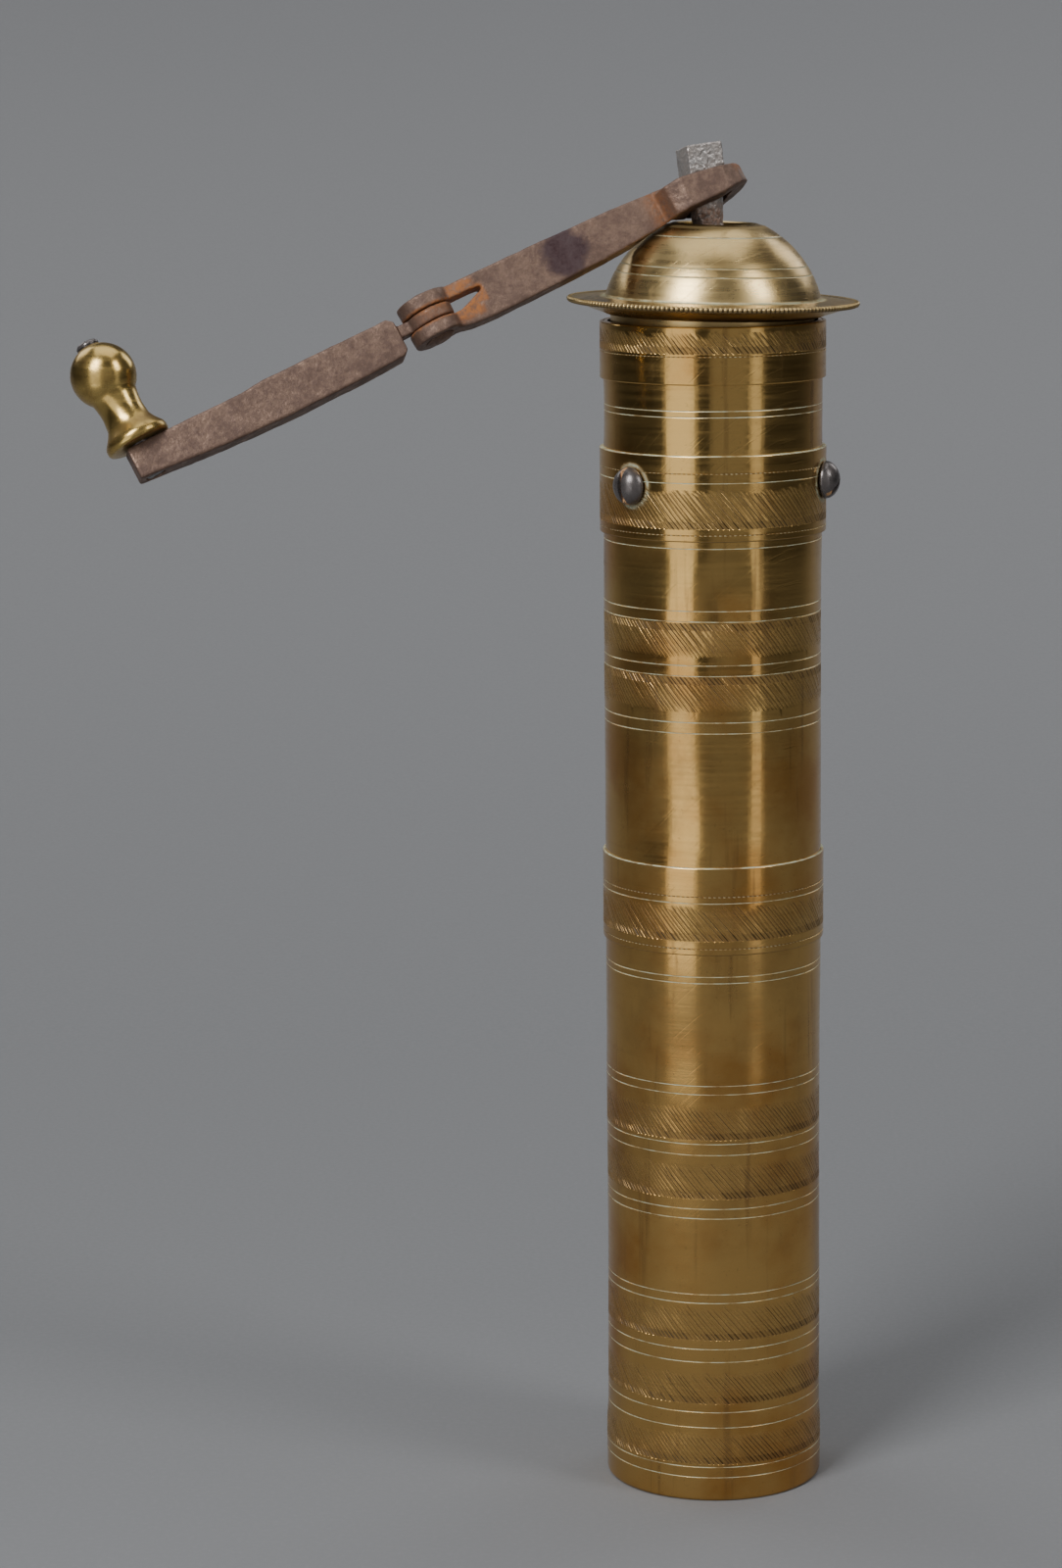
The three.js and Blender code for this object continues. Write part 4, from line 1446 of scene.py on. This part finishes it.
    def outer_arm(self) -> Piece:
        """Tongue, neck and flat bar, drilled for the rivet and the knob's pin.

        Returns:
            The arm, in the crank's axes moved to the fold.
        """
        half, deep, side = self.tongue_thick / 2, self.outer_depth / 2, self.neck_width / 2
        disc = add_rod(self.tongue_radius, -half, half)
        neck = add_box((2.0, -side, -half), (9.5, side, half))
        bar = extrude_outline("outer_bar", self.outer_side, -deep, deep, on_edge=True)
        arm = weld_all("forged_outer_arm", [disc, neck, bar])
        remesh(arm, self.rough_voxel)
        combine(arm, [self.drill(self.rivet_radius + 0.06), self.drill(self.pin_radius + 0.03, self.knob_x)])
        forge(arm, self.fine_voxel, rounding=4, dents=0.12, pits=0.035)
        x, _, z = read_points(arm).T
        tongue_rust = (1 - ease(x, 2.0, 5.0)) * (0.35 + 0.65 * ease(z, 0.2, 1.2)) * 0.8
        write_marks(arm, {Mark.RUST_AND_GLINT: tongue_rust})
        return arm

    def rivet(self) -> Piece:
        """The fold rivet, its ends hammered to low domes."""
        low, high = self.fork_span[0] - 0.03, self.fork_span[1] + 0.03
        lower = [(r, low - z) for r, z in reversed(self.rivet_head)]
        upper = [(r, high + z) for r, z in self.rivet_head]
        shank = [(self.rivet_radius, low), (self.rivet_radius, high)]
        return spin_outline("fold_rivet_peened", [*lower, *shank, *upper], 48)

    def knob_profile(self) -> list[Point]:
        """The knob's outline above its flange: flange, waist and ball."""
        ball = [
            (self.knob_radius * math.cos(a), self.ball_height + self.knob_radius * math.sin(a))
            for a in np.radians(np.arange(-44, 68, 5))
        ]
        return [*self.knob_foot, *ball]

    def knob(self) -> Piece:
        """The turned brass knob.

        Returns:
            The knob, in the crank's axes moved to its pin.
        """
        base, bore, profile = self.knob_base, self.knob_bore, self.knob_profile()
        top_radius, top = profile[-1][0] - 0.4, base + (profile[-1][1] + 0.3)
        side = [(r * self.knob_scale, base + z) for r, z in profile]
        obj = spin_outline("turned_knob", [(bore, base), *side, (top_radius, top), (bore, top)], 96)
        points = read_points(obj)
        radius, _ = polar(points)
        waist_dirt = bell(points[:, 2] - base, 3.6, 2.0) * 0.35
        write_marks(obj, {Mark.GRIME_AND_SHADE: np.where(radius > 4.0, waist_dirt, 0.6)})
        return obj

    def knob_pin(self) -> Piece:
        """The iron pin through the knob, peened over above it.

        Returns:
            The pin, in the crank's axes moved to it.
        """
        low, radius = self.pin_low, self.pin_radius
        top = self.knob_base + self.knob_profile()[-1][1] + 0.3 + 0.3
        obj = spin_outline("knob_pin_peened", [
            (0.0, low), (radius - 0.4, low), (radius, low + 0.3), (radius, top), (2.6, top), (2.65, top + 0.35),
            (2.3, top + 0.8), (1.5, top + 1.1), (0.0, top + 1.2),
        ], 48)
        roughen(obj, "peening", 1.4, 0.25)
        return obj

    def build(self, finishes: Finishes) -> None:
        """Makes every piece of the crank and hands it to its body."""
        fold, pin = self.pivot_x, self.pivot_x + self.knob_x
        for make, offset, body, slot, node, finish in (
            (self.inner_arm, 0.0, Body.CRANK, Slot.FORGED_IRON, "inner_arm", finishes.forged),
            (self.rivet, fold, Body.CRANK, Slot.FORGED_IRON, "fold_rivet", finishes.forged),
            (self.outer_arm, fold, Body.CRANK_TIP, Slot.FORGED_IRON, "outer_arm", finishes.forged),
            (self.knob_pin, pin, Body.CRANK_TIP, Slot.FORGED_IRON, "knob_pin", finishes.screw),
            (self.knob, pin, Body.KNOB, Slot.KNOB_BRASS, "knob", finishes.knob),
        ):
            obj = turn(make(), self.placed(offset))
            smooth(obj, 50.0)
            ride(obj, body, node, finish)


# ------------------------------------------------------------------ inner works


class Works:
    """The grinder's hidden pieces, which keep their frame shapes and get real finishes."""

    NODES_OF = {
        ("tube", Slot.TUBE_BRASS): ("cup_floor",),
        ("burr", Slot.BURR_IRON): ("stator_burr", "rotor_burr"),
        ("forged", Slot.FORGED_IRON): ("upper_yoke", "lower_yoke"),
        ("screw", Slot.SCREW_STEEL): (
            "rotor_pin", "adjusting_screw", "upper_yoke_screw_left", "upper_yoke_screw_right",
            "lower_yoke_screw_left", "lower_yoke_screw_right",
        ),
    }

    def dress(self, nodes: dict[str, Piece], finishes: Finishes) -> None:
        """Gives each remaining frame node its finish.

        Args:
            nodes: The frame's pieces by name.
            finishes: The mill's finishes.
        """
        for (finish, slot), names in self.NODES_OF.items():
            for name in names:
                dress(nodes[name], getattr(finishes, finish))


# ------------------------------------------------------------------ studio


@dataclass(frozen=True)
class SoftBox:
    """One rectangular studio light aimed at the mill."""

    name: str
    heading: float  # degrees round from the camera's side, positive to the right
    elevation: float
    distance: float
    width: float
    height: float
    power: float
    lift: float = 0.0

    def add(self, aim: Vector) -> None:
        """Adds the light.

        Args:
            aim: What it points at, in metres.
        """
        turned, up = math.radians(self.heading), math.radians(self.elevation)
        away = Vector((math.sin(turned) * math.cos(up), -math.cos(turned) * math.cos(up), math.sin(up)))
        light = bpy.data.lights.new(self.name, "AREA")
        light.shape = "RECTANGLE"
        light.size, light.size_y = self.width, self.height
        light.energy = self.power
        obj = bpy.data.objects.new(self.name, light)
        bpy.context.scene.collection.objects.link(obj)
        obj.location = aim + away * self.distance + Vector((0.0, 0.0, self.lift))
        obj.rotation_euler = away.to_track_quat("Z", "Y").to_euler()


@dataclass
class Studio:
    """Grey floor that curves up to a wall behind, soft boxes and the camera. Lengths are in metres."""

    camera_back: float = 0.9605
    camera_height: float = 0.3395
    yaw: float = -2.52
    pitch: float = 10.27
    roll: float = -0.49
    lens: float = 96.56
    floor_size: float = 16.0
    wall_back: float = 0.4
    wall_bend: float = 2.4
    wall_height: float = 3.0
    floor_colour: Colour = (0.19, 0.195, 0.204)
    wall_colour: Colour = (0.39, 0.395, 0.41)
    colour_change: Point = (-0.1, 2.0)  # where along Y it turns from one to the other
    floor_roughness: float = 0.85
    world: Colour = (0.07, 0.071, 0.074)
    aim: Vector = field(default_factory=lambda: Vector((0.0, 0.0, 0.17)))
    boxes: tuple[SoftBox, ...] = (
        SoftBox("key_box", -33.0, 42.0, 1.3, 0.42, 0.7, 12.5),
        SoftBox("side_box", 60.0, 40.0, 1.4, 0.35, 0.7, 5.5),
        SoftBox("top_box", 180.0, 78.0, 1.6, 1.4, 1.4, 8.5),
        SoftBox("back_left_box", -130.0, 35.0, 1.9, 0.9, 0.9, 5.0),
        SoftBox("back_right_box", 140.0, 30.0, 1.9, 0.7, 0.9, 4.0),
        SoftBox("left_strip", -33.0, 0.0, 0.5, 0.27, 0.76, 0.72, lift=0.22),
        SoftBox("right_strip", 44.0, 0.0, 0.55, 0.12, 0.76, 0.2, lift=0.22),
        SoftBox("front_fill", 16.0, 12.0, 1.7, 1.2, 1.5, 1.3),
    )

    def sweep(self) -> Piece:
        """The floor, with its far edge drawn up in a curve to a wall.

        Returns:
            The sweep's mesh object.
        """
        deselect()
        middle = self.wall_back - self.floor_size / 2
        bpy.ops.mesh.primitive_plane_add(size=self.floor_size, location=(0, middle, 0))
        floor = name_piece(bpy.context.object, "studio_floor")
        bpy.ops.object.transform_apply(location=True, rotation=False, scale=False)
        set_mode("EDIT")
        select_mesh("DESELECT")
        set_mode("OBJECT")
        for edge in floor.data.edges:
            edge.select = all(floor.data.vertices[i].co.y > self.wall_back - 0.01 for i in edge.vertices)
        set_mode("EDIT")
        bpy.ops.mesh.select_mode(type="EDGE")
        bend = [
            Vector((0, self.wall_bend * math.sin(a), self.wall_bend * (1 - math.cos(a))))
            for a in np.linspace(0, math.pi / 2, 13)
        ]
        bend.append(bend[-1] + Vector((0, 0, self.wall_height)))
        for start, end in zip(bend, bend[1:]):
            extrude(end - start)
        bpy.ops.mesh.select_mode(type="VERT")
        select_mesh()
        bpy.ops.mesh.normals_make_consistent(inside=False)
        set_mode("OBJECT")
        smooth(floor, 60.0)
        return floor

    def paint(self) -> Material:
        """The sweep's matt paint, a little uneven and paler up the wall.

        Returns:
            The finished material.
        """
        hand = Surface("sweep_paint")
        grain = hand.times(hand.noise(hand.where, 700.0, 3.0, 0.7), 0.25)
        rise = hand.ramp(hand.split(hand.where)["Y"], *self.colour_change)
        rise = hand.plus(rise, hand.minus(grain, 0.12), True)
        colour = hand.mix(rise, rgba(self.floor_colour), rgba(self.wall_colour))
        hand.tree.links.new(colour, hand.shader.inputs["Base Color"])
        hand.shader.inputs["Roughness"].default_value = self.floor_roughness
        return hand.material

    def add_camera(self) -> None:
        """Adds the camera and makes it the scene's."""
        camera = bpy.data.objects.new("camera", bpy.data.cameras.new("camera"))
        bpy.context.scene.collection.objects.link(camera)
        camera.data.lens = self.lens
        camera.data.clip_start = 0.01
        camera.matrix_world = (
            Matrix.Translation((0.0, -self.camera_back, self.camera_height))
            @ rotation(-self.yaw, "Z") @ rotation(90.0 - self.pitch, "X") @ rotation(self.roll, "Z")
        )
        bpy.context.scene.camera = camera

    def build(self) -> None:
        """Makes the floor, the world's grey, the lights and the camera."""
        floor = self.sweep()
        floor.data.materials.append(self.paint())
        world = bpy.data.worlds.new("studio_grey")
        world.use_nodes = True
        world.node_tree.nodes["Background"].inputs["Color"].default_value = rgba(self.world)
        bpy.context.scene.world = world
        for box in self.boxes:
            box.add(self.aim)
        self.add_camera()


# ------------------------------------------------------------------ build


def crank_axes(joints: Sequence[dict]) -> tuple[Vector, Vector, Vector]:
    """The fold pivot, the arms' direction and the pivot's axis, from the frame's joints.

    Args:
        joints: The frame's joints.

    Returns:
        The pivot's place in metres, then two unit vectors.
    """
    by_name = {joint["name"]: joint for joint in joints}
    pivot = Vector(by_name["arm_fold"]["pos_m"])
    normal = Vector(by_name["arm_fold"]["axis"]).normalized()
    along = Vector(by_name["knob_spin"]["pos_m"]) - pivot
    along = (along - normal * along.dot(normal)).normalized()
    return pivot, along, normal


def main() -> None:
    """Builds the mill and its studio."""
    logging.basicConfig(level=logging.INFO, format="%(message)s")
    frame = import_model()
    deselect()
    finishes = Finishes()
    Studio().build()
    crank = Crank(*crank_axes(frame["joints"]))
    for part in (BodyShell(), Lid(), GrinderScrews(), Spindle(), crank):
        part.build(finishes)
    Works().dress(frame["nodes"], finishes)


if __name__ == "__main__":
    main()
